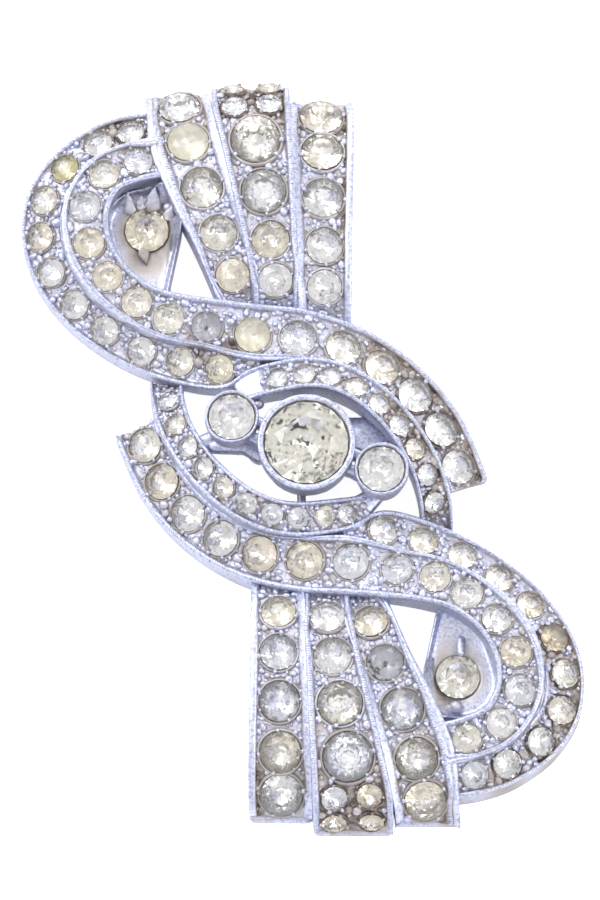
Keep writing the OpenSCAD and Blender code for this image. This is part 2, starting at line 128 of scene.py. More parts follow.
# %% Cast metal
PIT_MM, PIT_DEPTH_MM = 0.30, 0.05
GRAIN_MM, GRAIN_DEPTH_MM = 0.14, 0.02       # finer in truth, drawn coarser so that it shows
STAIN_MM = 0.7
SILVER_LIGHT, SILVER_DARK = linear("#D6DBF2"), linear("#9FA2B7")
WARM_FILM = linear("#B7B1AE")
TARNISH_LIGHT, TARNISH_DARK = linear("#8F8178"), linear("#494041")

cast_metal, tree = new_material("plated_white_metal_cast")
place = add_node(tree, "ShaderNodeTexCoord").outputs["Object"]
pits = add_node(tree, "ShaderNodeTexNoise", {
    "Vector": place, "Scale": 1 / (PIT_MM * MM), "Detail": 3.0, "Roughness": 0.65})
grain = add_node(tree, "ShaderNodeTexNoise", {
    "Vector": place, "Scale": 1 / (GRAIN_MM * MM), "Detail": 2.0})
stain = add_node(tree, "ShaderNodeTexNoise", {
    "Vector": place, "Scale": 1 / (STAIN_MM * MM), "Detail": 3.0})
pit_share = add_node(tree, "ShaderNodeMapRange", {"Value": pits, "From Min": 0.34, "From Max": 0.56})
silver = add_node(tree, "ShaderNodeMix", {
    SHARE: pit_share, FIRST: SILVER_DARK, SECOND: SILVER_LIGHT}, data_type="RGBA")
stain_share = add_node(tree, "ShaderNodeMapRange", {"Value": stain, "From Min": 0.35, "From Max": 0.65})
rust = add_node(tree, "ShaderNodeMix", {
    SHARE: stain_share, FIRST: TARNISH_DARK, SECOND: TARNISH_LIGHT}, data_type="RGBA")
grime = add_node(tree, "ShaderNodeAttribute", attribute_name="grime").outputs["Fac"]
# A little grime is a warm film on the silver, and much of it is brown tarnish.
film_share = add_node(tree, "ShaderNodeMapRange", {"Value": grime, "From Max": 0.4})
filmed = add_node(tree, "ShaderNodeMix", {
    SHARE: film_share, FIRST: silver, SECOND: WARM_FILM}, data_type="RGBA")
rust_share = add_node(tree, "ShaderNodeMapRange", {"Value": grime, "From Min": 0.3})
colour = add_node(tree, "ShaderNodeMix", {
    SHARE: rust_share, FIRST: filmed, SECOND: rust}, data_type="RGBA")
metal_share = add_node(tree, "ShaderNodeMapRange", {
    "Value": grime, "To Min": 1.0, "To Max": 0.3})
satin = add_node(tree, "ShaderNodeMapRange", {
    "Value": grime, "To Min": 0.42, "To Max": 0.7})
pit_bump = add_node(tree, "ShaderNodeBump", {
    "Height": pits, "Distance": PIT_DEPTH_MM * MM, "Strength": 0.8})
grain_bump = add_node(tree, "ShaderNodeBump", {
    "Height": grain, "Distance": GRAIN_DEPTH_MM * MM, "Strength": 0.8, "Normal": pit_bump})
cast_shader = add_node(tree, "ShaderNodeBsdfPrincipled", {
    "Base Color": colour, "Metallic": metal_share, "Roughness": satin, "Normal": grain_bump})
add_node(tree, "ShaderNodeOutputMaterial", {"Surface": cast_shader})

# %% [markdown]
# ## Steel of the pin
#
# The pin is nickelled steel wire. Drawing the wire leaves fine lines along it. The stem runs
# along y, so the noise that makes the lines is stretched that way.

# %% Drawn steel
DRAWN_LINE_MM = 0.12
LINE_STRETCH = 0.06          # scale of the noise along the wire, against that across it
STEEL_DARK, STEEL_LIGHT = linear("#8E919C"), linear("#C4C7D2")
pin_steel, tree = new_material("nickelled_steel_drawn")
place = add_node(tree, "ShaderNodeTexCoord").outputs["Object"]
stretch = add_node(tree, "ShaderNodeMapping", {"Vector": place, "Scale": (1.0, LINE_STRETCH, 1.0)})
lines = add_node(tree, "ShaderNodeTexNoise", {
    "Vector": stretch, "Scale": 1 / (DRAWN_LINE_MM * MM), "Detail": 2.0})
steel = add_node(tree, "ShaderNodeMix", {
    SHARE: lines, FIRST: STEEL_DARK, SECOND: STEEL_LIGHT}, data_type="RGBA")
dulled = add_node(tree, "ShaderNodeMapRange", {"Value": lines, "To Min": 0.3, "To Max": 0.5})
steel_shader = add_node(tree, "ShaderNodeBsdfPrincipled", {
    "Base Color": steel, "Metallic": 1.0, "Roughness": dulled})
add_node(tree, "ShaderNodeOutputMaterial", {"Surface": steel_shader})

# %% [markdown]
# ## Foiled glass
#
# A rhinestone is two finishes. Its crown is clear lead glass, which only bends light. Its back
# is painted with silver foil, which throws the light back out through the crown. So each stone
# has a glass front and a metal back, and the facets make their own pattern. Old foil turns
# yellow, goes milky or flakes off, so each stone's back carries its colour, its milkiness and
# how much it has flaked.

# %% Glass and foil
CROWN_IOR = 1.54
FLAKE_MM = 0.55
SPECK_MM = 1.1
BARE_BACK = linear("#5F5B52")

crown_glass, tree = new_material("lead_glass_cut")
glass_shader = add_node(tree, "ShaderNodeBsdfPrincipled", {
    "Base Color": linear("#FFFFFF"), "Roughness": 0.0, "IOR": CROWN_IOR, "Transmission Weight": 1.0})
add_node(tree, "ShaderNodeOutputMaterial", {"Surface": glass_shader})

foil_back, tree = new_material("silver_foil_aged")
place = add_node(tree, "ShaderNodeTexCoord").outputs["Object"]
foil_tint = add_node(tree, "ShaderNodeAttribute", attribute_name="foil")
milk = add_node(tree, "ShaderNodeAttribute", attribute_name="milk")
flaked = add_node(tree, "ShaderNodeAttribute", attribute_name="flaked")
flakes = add_node(tree, "ShaderNodeTexNoise", {
    "Vector": place, "Scale": 1 / (FLAKE_MM * MM), "Detail": 3.0})
flake_shade = add_node(tree, "ShaderNodeMapRange", {
    "Value": flakes, "From Min": 0.35, "From Max": 0.6, "To Min": 0.86, "To Max": 1.0})
worn = add_node(tree, "ShaderNodeMix", {
    SHARE: 1.0, FIRST: foil_tint.outputs["Color"], SECOND: flake_shade},
    data_type="RGBA", blend_type="MULTIPLY")
specks = add_node(tree, "ShaderNodeTexNoise", {
    "Vector": place, "Scale": 1 / (SPECK_MM * MM), "Detail": 2.5, "Roughness": 0.6})
speck_share = add_node(tree, "ShaderNodeMapRange", {
    "Value": specks, "From Min": 0.42, "From Max": 0.36})
bare_share = add_node(tree, "ShaderNodeMath", {
    0: speck_share, 1: flaked.outputs["Fac"]}, operation="MULTIPLY")
backed = add_node(tree, "ShaderNodeMix", {
    SHARE: bare_share, FIRST: worn, SECOND: BARE_BACK}, data_type="RGBA")
mirror = add_node(tree, "ShaderNodeMapRange", {
    "Value": milk.outputs["Fac"], "To Min": 0.8, "To Max": 0.0})
dull = add_node(tree, "ShaderNodeMapRange", {
    "Value": milk.outputs["Fac"], "To Min": 0.1, "To Max": 0.55})
foil_shader = add_node(tree, "ShaderNodeBsdfPrincipled", {
    "Base Color": backed, "Metallic": mirror, "Roughness": dull})
add_node(tree, "ShaderNodeOutputMaterial", {"Surface": foil_shader})
print("materials:", [m.name for m in (cast_metal, pin_steel, crown_glass, foil_back)])

# %% [markdown]
# ## Lanes
#
# Every row of stones lies in a lane: a shallow trough with a rib on each side. A lane is a table
# with one row of numbers for each stone and for each end, and a smooth curve runs through them.
# The tables are those that the solids were made from, so each trough lands on its solid. The
# lower half of the brooch is the upper half turned half a turn.

# %% Lane tables
# Columns: x, y, z, stone diameter, width to the left and right, roll in degrees, and how low
# the left and right walls reach.
D, WL, WR, ROLL, ZL, ZR = range(3, 9)
INNER_LANE = np.array([
    [-13.4, 30.2, 5.8, 0, 2.2, 2.2, 4, 3, 2.5], [-16.4, 29.6, 6.2, 2.9, 2.2, 2.1, 4, 3, 2.5],
    [-19.8, 28.1, 6.5, 3, 2.3, 2.1, 6, 2.4, 2.5], [-21.7, 24.8, 6.6, 3.1, 2.5, 2.2, 6, 2.4, 2.5],
    [-21.3, 20.9, 6.7, 3.1, 2.3, 2.5, 6, 2.4, 2.5], [-19.4, 17.5, 6.6, 3, 2.2, 2.5, 6, 2.4, 2.5],
    [-16.5, 14.9, 6.4, 3.1, 2.3, 2.2, 4, 2.4, 2.5], [-13.3, 13.2, 6.3, 3.1, 2.8, 2.1, 2, 2.4, 3],
    [-9.5, 12.4, 6.2, 3.1, 3, 2.1, 0, 3, 3], [-4.9, 11.6, 6, 3.6, 3.3, 2.6, -5, 3, 3],
    [-0.3, 11.4, 5.7, 3.7, 3.17, 2.5, -9, 2.6, 3], [4.2, 10.6, 4.9, 3.6, 2.83, 2.5, -14, 0, 3],
    [8.1, 8.8, 4, 3.6, 2.65, 2.42, -18, 0, 2.6], [11.4, 6.1, 3.2, 3.6, 2.61, 2.4, -20, 0, 2.4],
    [14, 2.7, 2.7, 3.6, 2.58, 2.4, -20, 0, 2], [15.7, -1.1, 2.3, 3.5, 2.58, 2.4, -20, 0, 1.6],
    [16.4, -3.1, 2.1, 0, 2.58, 2.4, -20, 0, 1.4]])
OUTER_LANE = np.array([
    [-14, 33.37, 4.6, 0, 2.37, 2.03, 26, 1.6, 0], [-17.19, 32.97, 4.6, 2.75, 2.19, 1.98, 18, 1.6, 0],
    [-20.46, 31.82, 4.3, 2.9, 2.24, 1.98, 17, 1.6, 0], [-23.83, 29.43, 3.8, 2.9, 2.26, 1.95, 19, 1.6, 0],
    [-25.91, 26.17, 3.5, 2.9, 2.23, 1.93, 19, 1.6, 0], [-26.3, 22.41, 3.3, 2.9, 2.3, 1.91, 20, 1.6, 0],
    [-25.21, 18.74, 3.2, 2.9, 2.3, 1.91, 20, 1.6, 0], [-22.83, 15.37, 3.2, 2.9, 2.3, 1.91, 20, 1.6, 0],
    [-19.74, 12.68, 3.4, 2.9, 2.23, 1.93, 19, 1.6, 0], [-16.06, 10.49, 3.8, 2.9, 2.22, 1.97, 18, 1.6, 0.4],
    [-12.18, 9.17, 4.6, 2.9, 2.15, 2.22, 15, 2, 1.6], [-8.2, 8.25, 5.4, 2.9, 1.98, 2.09, 11, 2.6, 2.6],
    [-6, 8.8, 5.6, 0, 1.3, 1.2, 10, 3, 3], [-4.2, 9.1, 5.7, 0, 1, 1, 4, 3, 3]])
CRESCENT_LANE = np.array([
    [-6.6, 5.8, 5.4, 0, 1.25, 1.25, 0, 3.2, 3.2], [-4.6, 6.7, 6, 2, 1.59, 1.65, -6, 3.2, 3.2],
    [-2.4, 7.1, 6.6, 2.1, 1.76, 1.64, -11, 3.2, 3.2], [0.3, 7.4, 7.1, 2.2, 1.82, 1.64, -15, 3.2, 3.2],
    [2.9, 7.1, 7.4, 2.2, 1.8, 1.64, -18, 3.2, 3.2], [5.5, 6, 7.4, 2.2, 1.79, 1.64, -20, 3, 3.2],
    [7.8, 4.3, 7.2, 2.2, 1.79, 1.64, -20, 2.8, 3.2], [9.8, 2.2, 6.7, 2.2, 1.79, 1.64, -20, 2.6, 3],
    [11.4, -0.1, 6.2, 2.2, 1.79, 1.64, -20, 2.2, 2.6], [12.6, -2.6, 5.4, 2.2, 1.8, 1.64, -18, 1.6, 2],
    [13.3, -5.3, 4.6, 2.2, 1.82, 1.64, -15, 0, 1.4], [13.4, -7.8, 2.3, 0, 1.87, 1.64, -10, 0, 0.6]])
FAN_LEFT_LANE = np.array([
    [-5.7, 13.6, 4.1, 0, 2.1, 2.1, 0, 2.6, 3], [-6.9, 17.7, 6.2, 3.4, 2.4, 2.5, 0, 2.4, 3],
    [-8.3, 22, 6.6, 3.7, 2.8, 2.5, 0, 2.4, 3], [-10, 26.7, 6.6, 4.2, 3.4, 3, 0, 2.6, 3],
    [-11.4, 31.6, 6, 4.2, 3.9, 3.2, 0, 2.6, 2], [-12.3, 35.6, 4.4, 4.2, 3.4, 3.2, 0, 0.4, 0.4],
    [-12.6, 37, 2.6, 0, 3.2, 3.3, 0, 0, 0], [-12.6, 37.5, 1.2, 0, 3.2, 3.3, 0, 0, 0]])
FAN_MIDDLE_LANE = np.array([
    [-2.4, 13.2, 3.8, 0, 2.3, 2.2, 0, 3, 3], [-2.6, 17.2, 6.2, 3.4, 2.4, 2.4, 0, 3, 3],
    [-3.1, 21.3, 6.7, 3.8, 2.7, 2.7, 0, 3, 3], [-3.8, 26.2, 7.1, 4.5, 3.1, 3.2, 0, 3, 3],
    [-4.6, 31.6, 7, 5, 3.5, 3.7, 0, 2.4, 2.4], [-5, 35.5, 5.8, 0, 4, 3.9, 0, 0.8, 0.8],
    [-5.1, 37.7, 3.7, 0, 4, 3.9, 0, 0, 0], [-5.1, 38.4, 1.2, 0, 4, 3.9, 0, 0, 0]])
FAN_RIGHT_LANE = np.array([
    [2.3, 12.8, 3.5, 0, 2.5, 2.7, 4, 2.4, 0], [2.3, 16.6, 5.7, 3.5, 2.7, 2.8, 4, 3, 0],
    [2.3, 20.8, 6.1, 3.7, 2.8, 2.8, 4, 3, 0], [2.2, 25.8, 6, 4.1, 3, 3, 4, 3, 0],
    [2.1, 30.8, 5.2, 4.2, 3.1, 3.2, 4, 2.4, 0], [2, 34.8, 3.5, 4.3, 3.1, 3.3, 4, 0.4, 0],
    [1.9, 36.5, 2, 0, 3, 3.3, 2, 0, 0], [1.9, 37.1, 1.1, 0, 3, 3.3, 0, 0, 0]])
LANES = {"inner_row": INNER_LANE, "outer_row": OUTER_LANE, "crescent_row": CRESCENT_LANE,
         "fan_left": FAN_LEFT_LANE, "fan_middle": FAN_MIDDLE_LANE, "fan_right": FAN_RIGHT_LANE}
print("lane rows:", {name: len(table) for name, table in LANES.items()})

# %% The curve through a table
HEADING_STEP = 0.01
DENSE_STEPS = 60             # a lane is measured in this many steps from one row to the next


def unit(v):
    return v / np.linalg.norm(v, axis=-1, keepdims=True)


def distances(points):
    """How far along a chain of points each of them lies."""
    return np.concatenate([[0], np.cumsum(np.linalg.norm(np.diff(points, axis=0), axis=1))])


def around(count, offset=0.0):
    """Angles spaced evenly round a circle."""
    return 2 * np.pi * (np.arange(count) + offset) / count


def rows_at(table, s):
    """The table's columns at the places s, which count in rows, on a curve through the rows."""
    last = len(table) - 1
    i = np.minimum(np.floor(s).astype(int), last - 1)
    t = (s - i)[:, None]
    a, b = table[np.maximum(i - 1, 0)], table[i]
    c, d = table[i + 1], table[np.minimum(i + 2, last)]
    cubic = (3 * b - a - 3 * c + d) * t ** 3
    return 0.5 * (2 * b + (c - a) * t + (2 * a - 5 * b + 4 * c - d) * t ** 2 + cubic)


def axes_at(table, s):
    """Along the lane, across it to the right, and off its surface."""
    last = len(table) - 1
    ahead = rows_at(table, np.minimum(s + HEADING_STEP, last))[:, :3]
    behind = rows_at(table, np.maximum(s - HEADING_STEP, 0))[:, :3]
    along = unit(ahead - behind)
    right = unit(np.stack([along[:, 1], -along[:, 0], np.zeros(len(s))], 1))
    up = np.cross(right, along)
    roll = np.radians(rows_at(table, s)[:, ROLL])[:, None]
    return along, right * np.cos(roll) - up * np.sin(roll), up * np.cos(roll) + right * np.sin(roll)


def even_steps(table, step):
    """Places along a lane that are one step apart, and the lane's length."""
    dense = np.linspace(0, len(table) - 1, DENSE_STEPS * (len(table) - 1) + 1)
    travelled = distances(rows_at(table, dense)[:, :3])
    wanted = np.linspace(0, travelled[-1], max(2, round(travelled[-1] / step)))
    return np.interp(wanted, travelled, dense), wanted


def half_turn(points, half):
    """Points of the upper half, turned half a turn if they are meant for the lower half."""
    return points * np.array([-1.0, -1.0, 1.0]) if half == "lower" else points

# %% [markdown]
# ## Roughness and tarnish
#
# A casting is never smooth, so every metal surface is pushed in and out a few hundredths of a
# millimetre by a smooth random field. The tarnish is gathered in places, which a short table
# gives as spots, and it is always stronger in a hollow than on a crest.

# %% Random relief and tarnish spots
# Large numbers that scramble a cell's place and the seed.
CELL_PRIMES, SEED_PRIME = (73856093, 19349663, 83492791), 2654435761
SCRAMBLE, SCRAMBLE_STEP, LAST_SCRAMBLE, LOW_31_BITS = 1103515245, 12345, 1274126177, 0x7FFFFFFF


def relief(points, cell, seed):
    """Smooth random heights from -1 to 1, with bumps about one cell wide."""
    q = points / cell
    i = np.floor(q).astype(np.int64)
    f = q - i
    f = f * f * (3 - 2 * f)
    total = np.zeros(len(points))
    for corner in range(8):
        d = np.array([corner & 1, corner >> 1 & 1, corner >> 2 & 1])
        k = i + d
        h = (k[:, 0] * CELL_PRIMES[0]) ^ (k[:, 1] * CELL_PRIMES[1]) ^ (k[:, 2] * CELL_PRIMES[2])
        h = ((h ^ (seed * SEED_PRIME)) * SCRAMBLE + SCRAMBLE_STEP) & LOW_31_BITS
        h = ((h >> 13) ^ h) * LAST_SCRAMBLE & LOW_31_BITS
        total += np.prod(np.where(d == 1, f, 1 - f), axis=1) * ((h >> 7) % 65536 / 32768 - 1)
    return total


# Columns: x, y, radius, strength.
TARNISH_SPOTS = np.array([
    # the rolled end of the upper fan and the crevice down its straight side
    [-4.6, 37.2, 3.4, 1.0], [-1.6, 34.6, 1.6, 0.8], [-8.2, 34.8, 1.4, 0.7], [-9.2, 36.6, 1.2, 0.9],
    [-15.0, 36.4, 1.4, 0.8], [-14.4, 33.4, 1.0, 0.6], [4.8, 34.0, 1.5, 1.0], [4.7, 30.4, 1.3, 0.9],
    [4.6, 27.0, 1.2, 0.9], [4.5, 23.6, 1.1, 0.7], [4.5, 20.4, 1.1, 0.6],
    # the outer trough of the upper ribbon's tail, and the small stones inside it
    [8.0, 11.2, 1.5, 0.8], [10.6, 9.6, 1.7, 1.0], [13.4, 7.0, 1.8, 1.0], [15.6, 4.0, 1.7, 1.0],
    [17.2, 0.6, 1.6, 0.9], [17.8, -2.2, 1.5, 0.8], [9.6, 3.8, 1.5, 0.7], [11.8, 0.9, 1.6, 0.9],
    [13.2, -2.4, 1.5, 0.8], [13.6, -5.4, 1.5, 0.7],
    # the loops
    [-18.6, 34.2, 2.6, 0.7], [-14.6, 31.4, 1.2, 0.7], [-7.2, 10.4, 1.1, 1.0], [-10.6, 10.6, 1.3, 0.6],
    [27.4, -14.0, 2.2, 0.9], [28.6, -18.4, 2.2, 1.0], [28.4, -22.6, 2.2, 1.0], [27.4, -26.6, 2.2, 0.9],
    [23.4, -10.4, 2.0, 0.8], [24.4, -30.6, 2.2, 0.7], [20.6, -34.0, 2.2, 0.7], [24.8, -19.6, 1.4, 0.6],
    # the pear dishes
    [-15.5, 22.6, 2.5, 0.55], [-15.9, 19.9, 1.8, 0.65], [15.4, -22.9, 2.3, 0.15], [14.4, -25.4, 0.8, 0.6],
    # the lower fan's ends
    [-4.6, -35.8, 1.6, 0.9], [-4.2, -33.0, 1.0, 1.0], [15.0, -36.8, 1.7, 1.0], [5.2, -36.6, 3.2, 0.9],
    [8.6, -33.4, 1.3, 0.8], [1.2, -33.0, 1.2, 0.7], [1.4, -28.0, 1.2, 0.5], [13.6, -24.8, 1.3, 0.5]])


def tarnish_near(points):
    """The strength of the strongest spot at each point."""
    total = np.zeros(len(points))
    for x, y, radius, strength in TARNISH_SPOTS:
        far = ((points[:, 0] - x) ** 2 + (points[:, 1] - y) ** 2) / radius ** 2
        total = np.maximum(total, strength * np.exp(-far))
    return total


PATCH_MM, PATCH_SEED = 1.1, 3
GRIME_EVERYWHERE, GRIME_IN_PATCHES, GRIME_IN_SPOTS = 0.12, 0.3, 1.25


def grime_of(points, hollow):
    """How tarnished each point is. hollow is 0 on a crest and 1 in a crevice."""
    patches = 0.5 + 0.5 * relief(points, PATCH_MM, PATCH_SEED)
    amount = GRIME_EVERYWHERE + GRIME_IN_PATCHES * patches + GRIME_IN_SPOTS * tarnish_near(points)
    return np.clip(hollow * amount, 0, 1)

# %% [markdown]
# ## A mesh from arrays
#
# Each surface is computed as an array of points in millimetres and handed over in one go. The
# function also stores the grime and makes sure that the faces point outwards, by the sign of
# the volume that they enclose.

# %% Mesh helpers
def enclosed(points, faces):
    """The volume that the faces enclose, below zero where they point inwards."""
    total = 0.0
    for size in {len(f) for f in faces}:
        group = np.array([f for f in faces if len(f) == size])
        for i in range(1, size - 1):
            sides = np.cross(points[group[:, i]], points[group[:, i + 1]])
            total += np.einsum("ij,ij->", points[group[:, 0]], sides)
    return total / 6


ATTRIBUTE_FIELDS = {"FLOAT": "value", "FLOAT_VECTOR": "vector", "FLOAT_COLOR": "color"}


def add_attribute(mesh, name, kind, values):
    """Stores a number, a vector or a colour with each point."""
    layer = mesh.attributes.new(name, kind, "POINT")
    layer.data.foreach_set(ATTRIBUTE_FIELDS[kind], np.asarray(values, np.float32).ravel())


def add_mesh(name, points, faces, material, grime=None, smooth=True):
    """An object from points in millimetres."""
    mesh = bpy.data.meshes.new(name)
    mesh.from_pydata((np.asarray(points) * MM).tolist(), [], [list(map(int, f)) for f in faces])
    if grime is not None:
        add_attribute(mesh, "grime", "FLOAT", grime)
    mesh.materials.append(material)
    mesh.polygons.foreach_set("use_smooth", [smooth] * len(mesh.polygons))
    mesh.update()
    made = bpy.data.objects.new(name, mesh)
    bpy.context.scene.collection.objects.link(made)
    return made


class Surfaces:
    """Gathers points, faces and grime of several surfaces into one piece."""

    def __init__(self):
        self.points, self.faces, self.grime, self.count = [], [], [], 0

    def add(self, points, faces, hollow):
        points = np.asarray(points, float)
        if enclosed(points - points.mean(0), faces) < 0:
            faces = [f[::-1] for f in faces]
        self.faces += [[i + self.count for i in f] for f in faces]
        self.points.append(points)
        self.grime.append(grime_of(points, hollow))
        self.count += len(points)

    def make(self, name):
        made = add_mesh(name, np.concatenate(self.points), self.faces, cast_metal,
                        np.concatenate(self.grime))
        print(name, sum(len(f) - 2 for f in self.faces), "triangles")
        return made


def ring_faces(rings, around):
    """Quads between neighbouring rings of points, each ring closed."""
    return [[k * around + i, k * around + (i + 1) % around, (k + 1) * around + (i + 1) % around,
             (k + 1) * around + i] for k in range(rings - 1) for i in range(around)]


def capped(rings, around):
    """The same, with a face across the first and the last ring."""
    first, last = list(range(around))[::-1], [(rings - 1) * around + i for i in range(around)]
    return ring_faces(rings, around) + [first, last]

# %% [markdown]
# ## The stones' places
#
# A list of all stones comes before the metal, because the metal's floor has to sink into a cup
# under each. A stone knows its node, its middle, its width and its three directions.

# %% Where every stone sits
# Pairs over the fan's rolled end. Columns: row, distance from the middle, diameter.
FAN_END_PAIRS = [(5.0, 1.75, 2.6), (6.0, 1.85, 2.5)]
PEAR_STONE, PEAR_Z, PEAR_D = (-15.55, 22.9), 3.9, 4.4
CENTRE_D, CENTRE_Z, FLANK_D, FLANK_Z = 8.4, 8.4, 4.6, 8.2
FLANK_X, FLANK_Y, TRIO_SHIFT = 7.46, 2.66, 0.5
CENTRE = np.array([TRIO_SHIFT, 0.0])
FLANKS = {"left": CENTRE + [-FLANK_X, FLANK_Y], "right": CENTRE + [FLANK_X, -FLANK_Y]}
UPRIGHT = np.array([[0.0, 1.0, 0.0], [1.0, 0.0, 0.0], [0.0, 0.0, 1.0]])
UPPER_CRESCENT_GAP = 1       # this row's stone is missing from the upper crescent
stones = []


def note_stone(node, half, lane, middle, width, axes):
    """Lists a stone of the upper half, or its partner. axes run along, across and off its row."""
    stones.append({"node": node, "half": half, "lane": lane, "width": width,
                   "middle": half_turn(np.asarray(middle, float), half),
                   "axes": np.array([half_turn(a, half) for a in axes])})


for half in HALVES:
    for name, table in LANES.items():
        along, across, normal = axes_at(table, np.arange(len(table), dtype=float))
        for row in range(len(table)):
            missing = name == "crescent_row" and half == "upper" and row == UPPER_CRESCENT_GAP
            if table[row, D] > 0 and not missing:
                node = f"fan_{half}_{name[4:]}_{row}" if name.startswith("fan") else f"{name}_{half}"
                note_stone(node, half, name, table[row, :3], table[row, D],
                           (along[row], across[row], normal[row]))
    for row, off, width in FAN_END_PAIRS:
        along, across, normal = (a[0] for a in axes_at(FAN_MIDDLE_LANE, np.array([row])))
        for way in (-1, 1):
            middle = rows_at(FAN_MIDDLE_LANE, np.array([row]))[0, :3] + across * way * off
            note_stone(f"fan_end_stones_{half}", half, "fan_middle", middle, width,
                       (along, across, normal))
    note_stone(f"pear_stone_{half}", half, "pear", (*PEAR_STONE, PEAR_Z), PEAR_D, UPRIGHT)
note_stone("centre_stone", "upper", "trio", (*CENTRE, CENTRE_Z), CENTRE_D, UPRIGHT)
for side, spot in FLANKS.items():
    note_stone(f"flank_stone_{side}", "upper", "trio", (*spot, FLANK_Z), FLANK_D, UPRIGHT)
print("stones:", len(stones), "on nodes:", len({s["node"] for s in stones}))

# %% How deep a stone reaches
PAVILION_SLOPE = 0.78        # depth of the pointed back as a share of the radius
SHELL_LIMIT = 1.34           # the shell under the paved stones covers no more than this


def pavilion_depth(stone):
    """The depth of a stone's back. The bezels and the dishes leave room for its full depth."""
    deepest = PAVILION_SLOPE * stone["width"] / 2
    return deepest if stone["lane"] in ("trio", "pear") else min(deepest, SHELL_LIMIT)

# %% [markdown]
# ## Casting the lanes
#
# A lane is one closed shell, swept along its curve. Each side of its cross-section is a table
# of places from the outer edge inwards. Four kinds of edge occur: a rounded ridge that carries
# a beaded line, a ridge with a smooth shoulder outside it, a plain band, and a ramp that climbs
# to the neighbour. The floor sinks to a cup under each stone.

# %% Edge profiles
FLOOR = -0.30                # height of the paved floor, counted from the stones' girdles
SHELL, SEAT = 1.2, 0.5       # the wall's thickness, and the roof's above the hollow back
STONE_ROOM = 0.12            # between a stone and the edge beside it
ROW_ROOM = 1.6               # a row without a stone leaves room for one this wide
LEAST_EDGE = 0.42
FADED_DROP = 0.4             # how far a faded edge has sunk
# Columns: distance in from the edge as a share of the edge's width, height off the crest, and
# how hollow the place is.
EDGES = {
    "ridge": [(0.0, -0.26, 0.5), (0.06, -0.1, 0.1), (0.25, -0.03, 0.0), (0.5, 0.0, 0.0),
              (0.75, -0.03, 0.0), (0.92, -0.12, 0.3), (1.0, -0.3, 0.9)],
    "shoulder": [(0.0, -0.3, 0.3), (0.05, -0.18, 0.0), (0.22, -0.1, 0.0), (0.42, -0.07, 0.05),
                 (0.5, -0.16, 0.6), (0.58, -0.05, 0.0), (0.74, 0.0, 0.0), (0.9, -0.06, 0.2),
                 (1.0, -0.3, 0.9)],
    "plain": [(0.0, -0.16, 0.1), (0.1, -0.04, 0.0), (0.3, 0.0, 0.0), (0.5, 0.0, 0.0),
              (0.7, -0.01, 0.0), (0.9, -0.06, 0.3), (1.0, -0.26, 1.0)],
    "ramp": [(0.0, 0.02, 0.0), (0.15, 0.0, 0.0), (0.35, -0.08, 0.0), (0.55, -0.17, 0.05),
             (0.75, -0.26, 0.15), (0.92, -0.36, 0.5), (1.0, -0.5, 1.0)]}
# The beaded line of an edge. Columns: its middle and half its width, as shares of the edge.
BEADED = {"ridge": (0.5, 0.38), "shoulder": (0.75, 0.2)}
# Columns: piece, lane, left and right edge as (kind, width, crest height), rows over which the
# edges fade at the end, and rows at the start of the upper half that are smooth.
SWEEPS = [
    ("ribbon", "inner_row", ("ridge", 0.6, 0.32), ("shoulder", 1.0, 0.32), 0, 0),
    ("ribbon", "outer_row", ("ramp", 0.5, -0.1), ("ridge", 0.5, 0.3), 0, 0),
    ("crescent", "crescent_row", ("ridge", 0.45, 0.18), ("ridge", 0.45, 0.32), 0, 1.35),
    ("fan", "fan_left", ("shoulder", 1.45, 0.32), ("ramp", 1.0, 0.42), 2, 0),
    ("fan", "fan_middle", ("ridge", 0.66, 0.35), ("ridge", 0.66, 0.35), 2, 0),
    ("fan", "fan_right", ("ramp", 0.9, 0.42), ("plain", 0.8, 0.28), 2, 0)]


def edge_width(rows, reach, wanted):
    """The wanted width, or less where a stone leaves less room for the edge."""
    room = rows[:, reach] - np.maximum(rows[:, D], ROW_ROOM) / 2 - STONE_ROOM
    return np.clip(room, LEAST_EDGE, wanted)


def crest_height(table, s, crest, fade):
    """The height of an edge's crest at each place, and how little of it has faded away."""
    keep = np.clip(((len(table) - 1) - s) / fade, 0, 1) if fade else np.ones(len(s))
    return crest * keep - FADED_DROP * (1 - keep), keep

# %% The lane's upper side
STATION_STEP = 0.22          # distance between cross-sections
FLOOR_POINTS = 15
FLOOR_GAP = 0.08             # the floor starts this far inside its edges
FLOOR_HOLLOW, PLATE_HOLLOW = 0.75, 0.1
PLATE_LEVEL = 0.12           # height of a stretch that is smooth and not paved
END_ROUND, END_TUCK = 0.45, 0.3      # the ends are rounded over this length, by this much
COARSE_MM, FINE_MM = 0.55, 0.24      # the two sizes of bump in the cast surface
FLOOR_RELIEF, EDGE_RELIEF = 0.13, 0.045
HOLLOW_PER_MM = 6            # how much more tarnish a pit of the floor holds
CUP_GAP, CUP_RIM, CUP_REACH = 0.16, 0.05, 0.6


def sink_cups(surface, half, push, hollow, is_floor):
    """Presses a cone into the floor under each stone, to clear the stone's pointed back."""
    for stone in stones:
        if stone["half"] == half and stone["lane"] != "trio":
            from_stone = surface - stone["middle"]
            up = stone["axes"][2]
            high = from_stone @ up
            out = np.linalg.norm(from_stone - high[..., None] * up, axis=-1)
            r = stone["width"] / 2
            limit = -(CUP_GAP + pavilion_depth(stone) * (1 - out / r))
            inside = (out < r + CUP_RIM) & (high > limit) & (high < CUP_REACH) & is_floor
            push = np.where(inside, limit - high, push)
            hollow = np.where(inside, 1.0, hollow)
    return push, hollow


